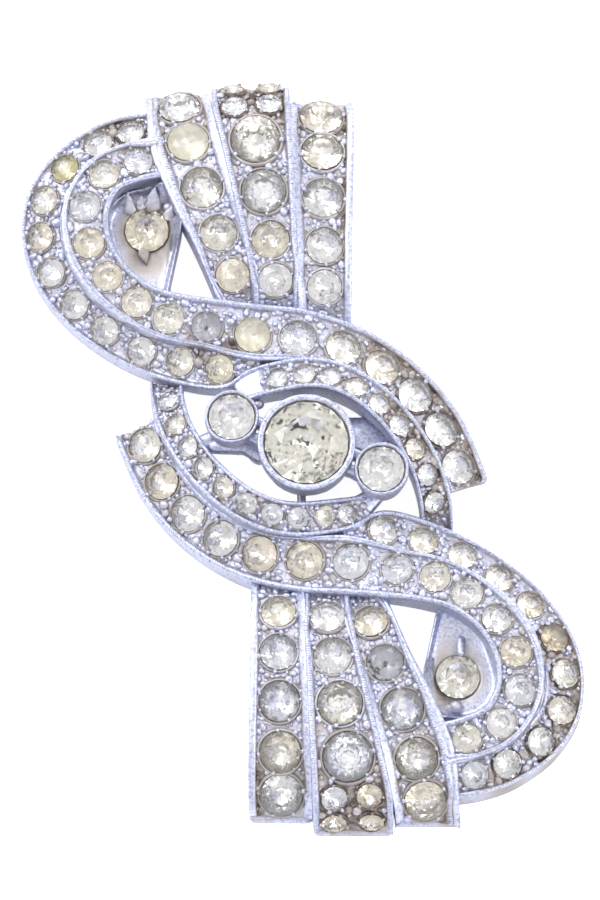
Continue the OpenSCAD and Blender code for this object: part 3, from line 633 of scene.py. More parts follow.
def cross_section(table, s, rows, left, right, fade, rounding, level):
    """Places (offset, height, hollow) from the left edge over the floor to the right edge."""
    edges = []
    for (kind, wanted, crest), way, reach in ((left, -1, WL), (right, 1, WR)):
        width = edge_width(rows, reach, wanted)
        height, _ = crest_height(table, s, crest, fade)
        outer = rows[:, reach] - END_TUCK * rounding
        edges.append([(way * (outer - share * width), np.maximum(height + lift, FLOOR), hollow)
                      for share, lift, hollow in EDGES[kind]])
    start, stop = edges[0][-1][0] + FLOOR_GAP, edges[1][-1][0] - FLOOR_GAP
    floor = [(start + (stop - start) * k / (FLOOR_POINTS - 1), level, FLOOR_HOLLOW)
             for k in range(FLOOR_POINTS)]
    return edges[0] + floor + edges[1][::-1], len(edges[0]), len(edges[1])

# %% The lane's walls and underside
WALL_LEAST = 1.5             # a wall is at least this high
WALL_SHARES = (1.0, 0.66, 0.33)      # where a wall has points, from its foot up
WALL_MM, WALL_RELIEF = 0.5, 0.05
WALL_HOLLOW, UNDER_HOLLOW = 0.4, 0.5
ROOF_INSET = 0.2
FAN_END = 38.4               # no lane reaches further from the middle than the fans' ends


def wall_of(column, foot, seed):
    """Rows of points below the edge of the upper side, down to the foot."""
    wall = []
    for share in WALL_SHARES:
        point = column.copy()
        point[:, 2] = column[:, 2] + (foot - column[:, 2]) * share
        if share < 1:
            point[:, :2] += (relief(point, WALL_MM, seed + 9) * WALL_RELIEF)[:, None]
        wall.append(point)
    return wall


def underside_of(rows, across, normal, way, reach, foot, half):
    """The wall's inner foot and the roof of the hollow back, on one side."""
    spot = rows[:, :3]
    inner = (way * (rows[:, reach] - SHELL))[:, None]
    inset = half_turn(spot + across * inner - normal * WALL_LEAST, half)
    inset[:, 2] = np.minimum(inset[:, 2], foot).clip(0)
    roof_reach = (way * (rows[:, reach] - SHELL - ROOF_INSET))[:, None]
    roof = half_turn(spot + across * roof_reach - normal * (SEAT + SHELL), half)
    roof[:, 2] = roof[:, 2].clip(0)
    return [inset, roof]

# %% One lane
def lane_surface(table, left, right, half, fade, smooth_rows, seed):
    """Points, faces and hollowness of one lane."""
    s, travelled = even_steps(table, STATION_STEP)
    rows = rows_at(table, s)
    _, across, normal = axes_at(table, s)
    to_end = np.minimum(travelled, travelled[-1] - travelled)
    rounding = (1 - np.clip(to_end / END_ROUND, 0, 1)) ** 2
    plate = (s < smooth_rows) if half == "upper" else np.zeros(len(s), bool)
    top, first, last = cross_section(table, s, rows, left, right, fade, rounding,
                                     np.where(plate, PLATE_LEVEL, FLOOR))

    u, w = (np.stack([column[i] for column in top], 1) for i in (0, 1))
    w = w - END_TUCK * rounding[:, None]
    surface = rows[:, None, :3] + across[:, None] * u[..., None] + normal[:, None] * w[..., None]
    surface = half_turn(surface, half)
    is_floor = np.zeros(u.shape, bool)
    is_floor[:, first:-last] = True
    is_floor &= ~plate[:, None]
    hollow = np.array([column[2] for column in top])[None, :].repeat(len(s), 0)
    hollow = np.where(plate[:, None], PLATE_HOLLOW, hollow)

    flat = surface.reshape(-1, 3)
    push = relief(flat, COARSE_MM, seed) * 0.5 + relief(flat, FINE_MM, seed + 5) * 0.5
    push = push.reshape(u.shape) * np.where(is_floor, FLOOR_RELIEF, EDGE_RELIEF)
    push *= 1 - rounding[:, None]
    hollow = np.where(is_floor, FLOOR_HOLLOW - HOLLOW_PER_MM * push, hollow)
    push, hollow = sink_cups(surface, half, push, hollow, is_floor)
    surface = surface + half_turn(normal, half)[:, None] * push[..., None]

    foot_left = np.minimum(rows[:, ZL], surface[:, 0, 2] - WALL_LEAST).clip(0)
    foot_right = np.minimum(rows[:, ZR], surface[:, -1, 2] - WALL_LEAST).clip(0)
    ring = wall_of(surface[:, 0], foot_left, seed)
    ring += [surface[:, k] for k in range(surface.shape[1])]
    ring += wall_of(surface[:, -1], foot_right, seed)[::-1]
    ring += underside_of(rows, across, normal, 1, WR, foot_right, half)
    ring += underside_of(rows, across, normal, -1, WL, foot_left, half)[::-1]
    wall_hollow = np.full((len(s), len(WALL_SHARES)), WALL_HOLLOW)
    under_hollow = np.full((len(s), 4), UNDER_HOLLOW)
    hollows = np.concatenate([wall_hollow, hollow, wall_hollow, under_hollow], 1)
    points = np.stack(ring, 1).reshape(-1, 3)
    points[:, 1] = points[:, 1].clip(-FAN_END, FAN_END)
    return points, capped(len(s), len(ring)), hollows.reshape(-1)

# %% Sweep all lanes
metal = []
for half in HALVES:
    for piece_name in ("ribbon", "crescent", "fan"):
        piece = Surfaces()
        for seed, (sweep, lane, left, right, fade, smooth_rows) in enumerate(SWEEPS, 1):
            if sweep == piece_name:
                piece.add(*lane_surface(LANES[lane], left, right, half, fade, smooth_rows, seed))
        metal.append(piece.make(f"cast_{piece_name}_{half}"))

# %% [markdown]
# ## The trio
#
# Three stones stand in bezels, which are short tubes with a lip pressed over the stone's edge.
# A tube is a profile turned round an axis. Bars join the bezels and tie them to the crescents,
# and two flat webs lie beside them. All of it is soft-soldered, so the joints are lumpy rather
# than crisp.

# %% Turned and lofted forms
SOLDER_ROUGH = 0.035
TURNED_MM = (0.5, 0.4)       # sizes of the bumps that push a turned form out and up
CIRCLE_POINTS, OUTLINE_POINTS = 24, 72
STACK_MM = 0.6
STACK_AXES = np.array([1, 1, 0.6])


def lathe(profile, centre, sides, seed):
    """A closed ring. The profile is a loop of (radius, height, hollow)."""
    angle = around(sides)
    loop = np.array(profile)
    flat = np.stack([np.outer(np.cos(angle), loop[:, 0]) + centre[0],
                     np.outer(np.sin(angle), loop[:, 0]) + centre[1],
                     np.outer(np.ones(sides), loop[:, 1])], -1).reshape(-1, 3)
    outward = np.repeat(np.stack([np.cos(angle), np.sin(angle), np.zeros(sides)], 1), len(loop), 0)
    flat = flat + outward * (relief(flat, TURNED_MM[0], seed) * SOLDER_ROUGH)[:, None]
    flat[:, 2] += relief(flat, TURNED_MM[1], seed + 1) * SOLDER_ROUGH
    m = len(loop)
    faces = [[k * m + i, k * m + (i + 1) % m, (k + 1) % sides * m + (i + 1) % m,
              (k + 1) % sides * m + i] for k in range(sides) for i in range(m)]
    return flat, faces, np.tile(loop[:, 2], sides)


def hull_outline(circles):
    """The rubber band round some circles (x, y, radius), as evenly spaced points."""
    angle = around(CIRCLE_POINTS)
    cloud = np.concatenate([np.stack([x + r * np.cos(angle), y + r * np.sin(angle)], 1)
                            for x, y, r in circles])
    cloud = cloud[np.lexsort((cloud[:, 1], cloud[:, 0]))]
    chains = []
    for run in (cloud, cloud[::-1]):
        chain = []
        for p in run:
            while len(chain) > 1:
                (ax, ay), (bx, by) = chain[-1] - chain[-2], p - chain[-2]
                if ax * by - ay * bx > 1e-9:
                    break
                chain.pop()
            chain.append(p)
        chains.append(chain[:-1])
    closed = np.array(chains[0] + chains[1] + chains[0][:1])
    travelled = distances(closed)
    even = np.linspace(0, travelled[-1], OUTLINE_POINTS + 1)[:-1]
    return np.stack([np.interp(even, travelled, closed[:, axis]) for axis in (0, 1)], 1)


def shrunk_outline(circles, inset, least):
    """The same round smaller circles, none of them under the least radius."""
    return hull_outline([(x, y, max(r - inset, least)) for x, y, r in circles])


def stacked(levels, seed, rough):
    """A closed form from outlines, each with its heights and its hollowness."""
    n = len(levels[0][0])
    points = np.concatenate([np.column_stack([outline, np.broadcast_to(z, n)])
                             for outline, z, _ in levels])
    points = points + (relief(points, STACK_MM, seed) * rough)[:, None] * STACK_AXES
    return points, capped(len(levels), n), np.concatenate([np.full(n, h) for _, _, h in levels])


# A bar's rounded edges. Columns: how far in from the outline, share of the height.
BAR_EDGE = ((0.25, 0.0), (0.06, 0.15), (0.0, 0.4), (0.0, 0.7), (0.08, 0.9), (0.3, 1.0))
BAR_LEAST_R, BAR_ROUGH = 0.1, 0.05


def bar(a, b, low, high, seed):
    """A bar over two circles (x, y, radius). It is more tarnished low down."""
    return stacked([(shrunk_outline((a, b), inset, BAR_LEAST_R), low + (high - low) * t, 0.6 - 0.4 * t)
                    for inset, t in BAR_EDGE], seed, BAR_ROUGH)

# %% Bezels
# Columns: middle, the stone's width, wall, height of the girdle and of the foot, sides, seed.
BEZELS = [(CENTRE, CENTRE_D, 0.6, CENTRE_Z, 4.4, 144, 21),
          (FLANKS["left"], FLANK_D, 0.3, FLANK_Z, 4.2, 96, 22),
          (FLANKS["right"], FLANK_D, 0.3, FLANK_Z, 4.2, 96, 24)]
STONE_PLAY = 0.1             # between the stone and its bezel
LIP = 0.45                   # the lip stands this high over the girdle
SEAT_DROP = 0.45             # the seat inside stays this far below the stone's back


def bezel_profile(r, wall, girdle, foot):
    """From the foot up the outside, over the lip and down along the stone's back."""
    out, bore, depth = r + STONE_PLAY + wall, r * 0.72 - 0.4, PAVILION_SLOPE * r
    lip, seat = girdle + LIP, girdle - SEAT_DROP
    return [(bore, foot, 1.0), (out - 0.35, foot, 0.9), (out - 0.3, foot + 0.6, 0.8),
            (out - 0.12, girdle - 2.2, 0.7), (out, girdle - 1.2, 0.5), (out, girdle - 0.4, 0.35),
            (out, lip - 0.17, 0.2), (out - 0.05, lip - 0.05, 0.05), (out - 0.12, lip, 0.0),
            (r + 0.2, lip, 0.1), (r + 0.14, lip - 0.07, 0.4), (r + 0.1, girdle + 0.12, 1.0),
            (r + 0.06, girdle - 0.08, 1.0), (r * 0.85, seat - depth * 0.15, 1.0),
            (bore, seat - depth * (1 - bore / r), 1.0)]


trio = Surfaces()
for spot, width, wall, girdle, foot, sides, seed in BEZELS:
    trio.add(*lathe(bezel_profile(width / 2, wall, girdle, foot), spot, sides, seed))

# %% Webs and tie bars
# Two bars side by side join each flank bezel to the centre one.
JOINT_LOW, JOINT_HIGH, JOINT_R = 4.8, 7.0, 0.6
JOINT_START, JOINT_START_APART = (4.0, -1.2), 1.0
JOINT_SHARE, JOINT_END_APART = 0.78, 0.9      # it ends this share of the way to the flank
# Two more tie it to the crescents. Columns: foot's x and y from the flank's middle and its
# radius, far end's x, y and radius, all for the right side, and seed.
TIES = [((-0.6, -1.9, 0.9), (5.6, -6.0, 1.3), 33), ((1.7, 1.2, 0.7), (10.7, -0.4, 0.8), 37)]
TIE_LOW, TIE_HIGH = 3.5, 5.3
# A web runs under the left flank bezel, and another fills the corner over the right one.
# Columns: x, y, radius.
LEFT_WEB = [(-8.7, 0.6, 0.8), (-5.6, 0.5, 0.8), (-4.2, -0.5, 0.8)]
CORNER_WEB = [(4.4, 3.0, 0.6), (6.9, 3.2, 0.5), (8.5, 1.4, 0.5), (7.7, -0.2, 0.5), (4.7, 1.0, 0.5)]
LEFT_WEB_LOW, LEFT_WEB_HIGH, CORNER_WEB_LOW = 3.6, 5.2, 3.0
# The corner web slopes down outwards: its top over places where x + y is so much.
CORNER_WEB_SUMS, CORNER_WEB_TOPS = (5.7, 9.9), (4.9, 4.0)
WEB_HOLLOW, WEB_ROUGH = 0.1, 0.03

for way, side in ((-1, "left"), (1, "right")):
    flank = FLANKS[side]
    for slope in (-1, 1):
        start = (TRIO_SHIFT + way * JOINT_START[0], way * JOINT_START[1] + slope * JOINT_START_APART)
        end = CENTRE + (flank - CENTRE) * JOINT_SHARE + [0, slope * JOINT_END_APART]
        trio.add(*bar((*start, JOINT_R), (*end, JOINT_R), JOINT_LOW, JOINT_HIGH, 31 + slope))
    for foot, far, seed in TIES:
        start = (flank[0] + way * foot[0], flank[1] + way * foot[1], foot[2])
        trio.add(*bar(start, (way * far[0], way * far[1], far[2]), TIE_LOW, TIE_HIGH, seed + way))
for start, end in zip(LEFT_WEB, LEFT_WEB[1:]):
    trio.add(*bar(start, end, LEFT_WEB_LOW, LEFT_WEB_HIGH, 51))
corner = []
for inset, share in BAR_EDGE:
    outline = shrunk_outline(CORNER_WEB, inset, BAR_LEAST_R)
    top = np.interp(outline.sum(1), CORNER_WEB_SUMS, CORNER_WEB_TOPS)
    corner.append((outline, CORNER_WEB_LOW + (top - CORNER_WEB_LOW) * share, WEB_HOLLOW))
trio.add(*stacked(corner, 53, WEB_ROUGH))
metal.append(trio.make("bezel_trio"))

# %% [markdown]
# ## Lips of the fans' ends
#
# Each column of a fan ends in a low lip, which closes the trough. It is a bar with rounded
# corners, laid across the end of the lane's table.

# %% End lips
END_LIP_R, END_LIP_FOOT, END_LIP_RISE = 0.5, 0.2, 0.35
for half in HALVES:
    lips = Surfaces()
    for seed, lane in enumerate(("fan_left", "fan_middle", "fan_right"), 61):
        s = np.array([len(LANES[lane]) - 1.0])
        row, across = rows_at(LANES[lane], s)[0], axes_at(LANES[lane], s)[1][0, :2]
        corners = [(*(row[:2] + across * reach - [0, END_LIP_R]), END_LIP_R)
                   for reach in (END_LIP_R - row[WL], row[WR] - END_LIP_R)]
        lip, faces, hollow = bar(*corners, END_LIP_FOOT, row[2] + END_LIP_RISE, seed)
        lips.add(half_turn(lip, half), faces, hollow)
    metal.append(lips.make(f"fan_lips_{half}"))

# %% [markdown]
# ## Pear dishes
#
# Inside each loop a pear-shaped dish holds one stone, the upper one behind leaf-shaped prongs
# and the lower one behind a bar. The dish is a stack of outlines that shrink as they go over
# the rim and down to the floor. Where it meets the loop or the fan its rim runs up their walls,
# so that both make one smooth bowl.

# %% Bowl
PEAR_CIRCLES = [(-15.9, 23.3, 3.9), (-13.9, 25.6, 1.8), (-16.5, 19.2, 2.1), (-14.2, 16.8, 0.9)]
# Columns: how far in from the outline, height at the free rim, height at the loop's wall, hollow.
DISH_LEVELS = [(0.0, 1.5, 1.5, 0.6), (0.0, 2.6, 3.4, 0.4), (0.0, 3.9, 5.8, 0.3), (0.05, 4.2, 6.2, 0.1),
               (0.13, 4.32, 6.12, 0.0), (0.22, 4.25, 5.95, 0.1), (0.34, 3.9, 5.7, 0.1), (0.55, 3.6, 5.3, 0.1),
               (0.85, 3.5, 4.85, 0.2)]
# The seat under the stone. Columns: radius against the stone's, height.
SEAT_LEVELS = [(1.16, 3.86), (1.03, 3.7), (0.75, 3.15), (0.2, 1.9)]
SEAT_HOLLOW = 1.0
DISH_LEAST_R, DISH_ROUGH = 0.2, 0.03
WALL_REACH, WALL_NEAR = 1.6, 0.7     # how soon the rim feels the wall beside it


def lane_edge(table, way, reach, first, last):
    """Points in x and y along a lane's outer edge."""
    s = np.linspace(first, last, 80)
    _, across, _ = axes_at(table, s)
    rows = rows_at(table, s)
    return (rows[:, :3] + across * (way * rows[:, reach])[:, None])[:, :2]


walls_near = np.concatenate([lane_edge(INNER_LANE, 1, WR, 0, 9), lane_edge(FAN_LEFT_LANE, -1, WL, 1, 5)])


def walled_share(outline):
    gap = np.linalg.norm(outline[:, None] - walls_near[None], axis=2).min(1)
    return np.clip(WALL_REACH - gap / WALL_NEAR, 0, 1)


def dish_levels():
    rim = walled_share(hull_outline(PEAR_CIRCLES))
    rim = (rim + np.roll(rim, 1) + np.roll(rim, -1)) / 3
    for inset, free, walled, hollow in DISH_LEVELS:
        outline = shrunk_outline(PEAR_CIRCLES, inset, DISH_LEAST_R)
        yield outline, free + (walled - free) * rim, hollow
    for share, height in SEAT_LEVELS:
        yield hull_outline([(*PEAR_STONE, share * PEAR_D / 2)]), height, SEAT_HOLLOW

# %% Prongs
PRONG_STEPS, PRONG_ROUND = 9, 12
LEAF_THICK = 0.13
# Columns: foot, tip, width, height at the foot, rise to the tip.
LEAVES = [((-17.1, 24.5), (-17.5, 26.6), 1.3, 4.2, 0.9), ((-15.1, 24.9), (-14.7, 27.0), 1.9, 4.2, 1.0),
          ((-16.2, 25.0), (-16.1, 26.2), 1.1, 4.2, 0.6), ((-13.6, 23.9), (-12.9, 25.6), 1.4, 4.1, 0.5),
          ((-15.9, 21.0), (-15.7, 19.4), 1.3, 4.1, -0.2)]
BAR_PRONG = ((15.85, -21.0), (15.85, -18.6), 0.84, 4.5, -0.6)
# Columns: size of the bumps, their height, hollow.
LEAF_SURFACE, BAR_SURFACE = (0.35, 0.16, 0.6), (0.3, 0.05, 0.3)
LEAF_SHOULDER, LEAF_FOOT, LEAF_TAPER = 0.15, 0.25, 0.7
LEAF_LEAST, BAR_LEAST = 0.05, 0.03           # half the width that is left at the very ends


def leaf_section(t, width):
    """Half the width and the thickness on the way: it broadens fast and ends in a point."""
    swell = math.sqrt(min(t / LEAF_SHOULDER, 1)) * (1 - LEAF_FOOT) + LEAF_FOOT
    return width / 2 * swell * (1 - t) ** LEAF_TAPER + LEAF_LEAST, LEAF_THICK


def bar_section(t, width):
    """The same for a round bar with blunt ends."""
    r = width / 2 * math.sqrt(1 - (2 * t - 1) ** 6) + BAR_LEAST
    return r, r


def prong(section, foot, tip, width, low, rise, bump, rough, hollow, seed):
    """A spindle from the foot to the tip, which laps over the stone's edge."""
    foot, tip = np.array(foot), np.array(tip)
    along = tip - foot
    side = np.array([-along[1], along[0]]) / np.linalg.norm(along)
    angle = around(PRONG_ROUND)
    rings = []
    for t in np.linspace(0, 1, PRONG_STEPS):
        wide, thick = section(t, width)
        xy = foot + along * t + side * (wide * np.cos(angle))[:, None]
        rings.append(np.column_stack([xy, low + rise * t + thick * np.sin(angle)]))
    points = np.concatenate(rings)
    points += np.stack([relief(points, bump, seed + k) for k in range(3)], 1) * rough
    return points, capped(PRONG_STEPS, PRONG_ROUND), np.full(len(points), hollow)


for half in HALVES:
    dish = Surfaces()
    bowl, faces, hollow = stacked(list(dish_levels()), 41, DISH_ROUGH)
    dish.add(half_turn(bowl, half), faces, hollow)
    if half == "upper":
        for seed, row in enumerate(LEAVES, 45):
            dish.add(*prong(leaf_section, *row, *LEAF_SURFACE, seed))
    else:
        dish.add(*prong(bar_section, *BAR_PRONG, *BAR_SURFACE, 55))
    metal.append(dish.make(f"pear_dish_{half}"))

# %% [markdown]
# ## Beads, lumps and collars
#
# Small shapes repeat hundreds of times: the grains of the beaded line on each ridge, the beads
# that are pushed over a stone's edge to hold it, the lumps of metal between the stones, and
# the thin collar round each stone. Geometry Nodes place one shape on a cloud of points. Each
# point carries a size and a turn, and the tree then roughens what it placed.

# %% The tree that sets a shape on points
def setting_tree():
    tree = bpy.data.node_groups.new("set_on_points", "GeometryNodeTree")
    wanted = (("Points", "Geometry", "INPUT"), ("Shape", "Object", "INPUT"),
              ("Grit depth", "Float", "INPUT"), ("Grit size", "Float", "INPUT"),
              ("Material", "Material", "INPUT"), ("Result", "Geometry", "OUTPUT"))
    sockets = {name: tree.interface.new_socket(name, in_out=way, socket_type="NodeSocket" + kind).identifier
               for name, kind, way in wanted}
    given = add_node(tree, "NodeGroupInput")
    shape = add_node(tree, "GeometryNodeObjectInfo", {"Object": given.outputs["Shape"]})
    size = add_node(tree, "GeometryNodeInputNamedAttribute", {"Name": "size"}, data_type="FLOAT_VECTOR")
    turn = add_node(tree, "GeometryNodeInputNamedAttribute", {"Name": "turn"}, data_type="FLOAT_VECTOR")
    rotation = add_node(tree, "FunctionNodeEulerToRotation", {"Euler": turn})
    placed = add_node(tree, "GeometryNodeInstanceOnPoints", {
        "Points": given.outputs["Points"], "Instance": shape.outputs["Geometry"],
        "Rotation": rotation, "Scale": size})
    real = add_node(tree, "GeometryNodeRealizeInstances", {"Geometry": placed})
    where = add_node(tree, "GeometryNodeInputPosition")
    per_metre = add_node(tree, "ShaderNodeMath", {
        0: 1.0, 1: given.outputs["Grit size"]}, operation="DIVIDE")
    noise = add_node(tree, "ShaderNodeTexNoise", {"Vector": where, "Scale": per_metre, "Detail": 1.0})
    centred = add_node(tree, "ShaderNodeMath", {0: noise, 1: 0.5}, operation="SUBTRACT")
    depth = add_node(tree, "ShaderNodeMath", {
        0: centred, 1: given.outputs["Grit depth"]}, operation="MULTIPLY")
    normal = add_node(tree, "GeometryNodeInputNormal")
    offset = add_node(tree, "ShaderNodeVectorMath", {0: normal, "Scale": depth}, operation="SCALE")
    moved = add_node(tree, "GeometryNodeSetPosition", {"Geometry": real, "Offset": offset})
    smooth = add_node(tree, "GeometryNodeSetShadeSmooth", {"Geometry": moved})
    finish = add_node(tree, "GeometryNodeSetMaterial", {
        "Geometry": smooth, "Material": given.outputs["Material"]})
    add_node(tree, "NodeGroupOutput", {"Result": finish})
    return tree, sockets


SET_ON_POINTS, SOCKETS = setting_tree()


def set_shape(name, shape, places, grit_depth, grit_size):
    """places is a list of (middle, axes across, along and up, half sizes, hollow). Grit is the
    roughness that the tree adds, in millimetres."""
    middles, axes, sizes, hollow = (np.array([p[i] for p in places], np.float32) for i in range(4))
    turns = [Matrix(a.T.tolist()).to_euler() for a in axes]
    cloud = bpy.data.meshes.new(name)
    cloud.from_pydata((middles * MM).tolist(), [], [])
    add_attribute(cloud, "size", "FLOAT_VECTOR", sizes)
    add_attribute(cloud, "turn", "FLOAT_VECTOR", turns)
    add_attribute(cloud, "grime", "FLOAT", grime_of(middles, hollow))
    carrier = bpy.data.objects.new(name, cloud)
    bpy.context.scene.collection.objects.link(carrier)
    modifier = carrier.modifiers.new("set", "NODES")
    modifier.node_group = SET_ON_POINTS
    for socket, value in (("Shape", shape), ("Grit depth", grit_depth * MM),
                          ("Grit size", grit_size * MM), ("Material", cast_metal)):
        modifier[SOCKETS[socket]] = value
    evaluated = carrier.evaluated_get(bpy.context.evaluated_depsgraph_get())
    made = bpy.data.meshes.new_from_object(evaluated)
    carrier.modifiers.clear()
    carrier.data = made
    print(name, len(places), "places,", sum(len(p.vertices) - 2 for p in made.polygons), "triangles")
    return carrier


# %% The shapes
def small_shape(name, points, faces):
    """An object that only serves as a pattern, so it isn't linked to the scene."""
    mesh = bpy.data.meshes.new(name)
    mesh.from_pydata((np.array(points) * MM).tolist(), [], faces)
    mesh.update()
    return bpy.data.objects.new(name, mesh)


def ball(sides, rings):
    """Points and faces of a ball of radius 1."""
    def at(k, i):
        down, turn = math.pi * k / rings, 2 * math.pi * i / sides
        return (math.sin(down) * math.cos(turn), math.sin(down) * math.sin(turn), math.cos(down))

    points = [(0, 0, 1)] + [at(k, i) for k in range(1, rings) for i in range(sides)] + [(0, 0, -1)]
    last, base = len(points) - 1, 1 + (rings - 2) * sides
    faces = [[0, 1 + i, 1 + (i + 1) % sides] for i in range(sides)]
    faces += [[1 + k * sides + i, 1 + (k + 1) * sides + i, 1 + (k + 1) * sides + (i + 1) % sides,
               1 + k * sides + (i + 1) % sides] for k in range(rings - 2) for i in range(sides)]
    return points, faces + [[last, base + (i + 1) % sides, base + i] for i in range(sides)]


GRAIN_SHAPE = small_shape("grain_shape", *ball(6, 4))
LUMP_SHAPE = small_shape("lump_shape", *ball(8, 5))
# The collar round a stone of radius 1. Columns: radius, height.
COLLAR_SECTION = [(0.99, -0.4), (1.015, -0.12), (1.03, -0.04), (1.07, -0.01), (1.11, -0.06), (1.15, -0.2),
                  (1.17, -0.4)]
COLLAR_SIDES = 36
collar_points = [(r * math.cos(a), r * math.sin(a), z)
                 for a in around(COLLAR_SIDES) for r, z in COLLAR_SECTION]
n = len(COLLAR_SECTION)
collar_faces = [[i * n + (k + 1) % n, i * n + k, (i + 1) % COLLAR_SIDES * n + k,
                 (i + 1) % COLLAR_SIDES * n + (k + 1) % n] for i in range(COLLAR_SIDES) for k in range(n)]
COLLAR_SHAPE = small_shape("collar_shape", collar_points, collar_faces)

# %% Beaded lines
BEAD_PITCH = 0.25            # the real ones are a little finer, about 0.2
BEAD_FILL, BEAD_HEIGHT = 0.44, 0.1           # half a bead's length against the pitch, its height
BEAD_HOLLOW, RIM_HOLLOW = 0.15, 0.1
BEAD_UNEVEN = (0.85, 1.1)    # each bead's sizes are multiplied by numbers from this range
FADED = 0.2                  # an edge that has faded further carries no beads


def beaded_line(table, edge, way, reach, half, fade):
    kind, wanted, crest = edge
    share, spread = BEADED[kind]
    s, _ = even_steps(table, BEAD_PITCH)
    rows = rows_at(table, s)
    along, across, normal = axes_at(table, s)
    width = edge_width(rows, reach, wanted)
    height, keep = crest_height(table, s, crest, fade)
    offset = (way * (rows[:, reach] - width * share))[:, None]
    middle = rows[:, :3] + across * offset + normal * height[:, None]
    places = []
    for k in np.flatnonzero(keep > FADED):
        axes = half_turn(np.array([across[k], along[k], normal[k]]), half)
        size = np.array([width[k] * spread, BEAD_PITCH * BEAD_FILL, BEAD_HEIGHT])
        size *= random.uniform(*BEAD_UNEVEN, 3)
        places.append((half_turn(middle[k], half), axes, size, BEAD_HOLLOW))
    return places


for half in HALVES:
    line = []
    for _, lane, left, right, fade, _ in SWEEPS:
        for edge, way, reach in ((left, -1, WL), (right, 1, WR)):
            if edge[0] in BEADED:
                line += beaded_line(LANES[lane], edge, way, reach, half, fade)
    metal.append(set_shape(f"beaded_lines_{half}", GRAIN_SHAPE, line, grit_depth=0.05, grit_size=0.2))

# %% Beaded rims of the bezels
RIM_INSIDE, RIM_OUTSIDE = 0.16, 0.04         # how far the beads stay off the stone and the edge
RIM_UNEVEN = (0.75, 1.1)
rims = []
for spot, width, wall, girdle, *_ in BEZELS:
    inner, outer = width / 2 + RIM_INSIDE, width / 2 + STONE_PLAY + wall - RIM_OUTSIDE
    radius, half_width = (inner + outer) / 2, (outer - inner) / 2
    for a in np.arange(0, 2 * math.pi, BEAD_PITCH / radius):
        out = np.array([math.cos(a), math.sin(a), 0])
        ahead = np.array([-math.sin(a), math.cos(a), 0])
        size = np.array([half_width, BEAD_PITCH * BEAD_FILL, BEAD_HEIGHT])
        size *= random.uniform(*RIM_UNEVEN, 3)
        middle = np.array([*(spot + radius * out[:2]), girdle + LIP])
        rims.append((middle, [out, ahead, np.array([0, 0, 1.0])], size, RIM_HOLLOW))
metal.append(set_shape("beaded_bezel_rims", GRAIN_SHAPE, rims, grit_depth=0.07, grit_size=0.2))

# %% Collars and the beads that hold the stones
middles = np.array([s["middle"] for s in stones])
reaches = np.array([s["width"] / 2 for s in stones])


def room_at(point, own=None):
    """Distance to the nearest stone's edge, leaving out the stone that is held."""
    gap = np.linalg.norm(middles - point, axis=1) - reaches
    if own is not None:
        gap[own] = np.inf
    return gap.min()


COLLAR_HOLLOW = 1.6
BEADS_EACH, BEAD_WANDER = 5, 0.4             # beads a stone, and how unevenly they stand, radians
BEAD_R, BEAD_R_BASE, BEAD_R_GAIN = (0.16, 0.3), 0.8, 0.1     # they grow a little with the stone
BEAD_OUT, BEAD_LIFT, BEAD_ROOM = 0.45, 0.03, 0.4
HOLD_UNEVEN, HOLD_HOLLOW = (0.8, 1.2), (0.2, 0.8)


def beads_round(number):
    """The beads that hold one stone, without any that would sit on its neighbours."""
    stone = stones[number]
    along, across, normal = stone["axes"]
    r = stone["width"] / 2
    for a in random.uniform(0, 2 * math.pi) + around(BEADS_EACH):
        a += random.uniform(-BEAD_WANDER, BEAD_WANDER)
        size = random.uniform(*BEAD_R) * (BEAD_R_BASE + BEAD_R_GAIN * r)
        out = across * math.cos(a) + along * math.sin(a)
        point = stone["middle"] + out * (r + size * BEAD_OUT) + normal * BEAD_LIFT
        if room_at(point, number) > size * BEAD_ROOM:
            yield (point, [across, along, normal],
                   size * random.uniform(*HOLD_UNEVEN, 3), random.uniform(*HOLD_HOLLOW))


for half in HALVES:
    paved = [k for k, stone in enumerate(stones)
             if stone["half"] == half and stone["lane"] not in ("trio", "pear")]
    collars = []
    for k in paved:
        along, across, normal = stones[k]["axes"]
        r = stones[k]["width"] / 2
        collars.append((stones[k]["middle"], [across, along, normal], (r, r, 1.0), COLLAR_HOLLOW))
    beads = [bead for k in paved for bead in beads_round(k)]
    metal.append(set_shape(f"stone_collars_{half}", COLLAR_SHAPE, collars, grit_depth=0.2, grit_size=0.5))
    metal.append(set_shape(f"holding_beads_{half}", LUMP_SHAPE, beads, grit_depth=0.12, grit_size=0.3))

# %% Lumps between the stones
# Columns: tries for each millimetre of lane, least and largest radius.
LUMP_SIZES = [(12, 0.26, 0.5), (16, 0.13, 0.26)]
LUMP_START, PLATE_FREE = 0.2, 0.1            # rows at the start that stay free, and after a plate
FAN_END_FREE, ROW_END_FREE = 2.1, 1.12       # rows counted back from one past the end
LUMP_SINK, LUMP_FLAT = 0.2, [1, 1, 0.7]
LUMP_UNEVEN, LUMP_HOLLOW = (0.7, 1.35), (0.0, 1.0)
LUMP_APART, LUMP_STONE_GAP, LUMP_STONE_SHARE = 0.7, 0.06, 0.7


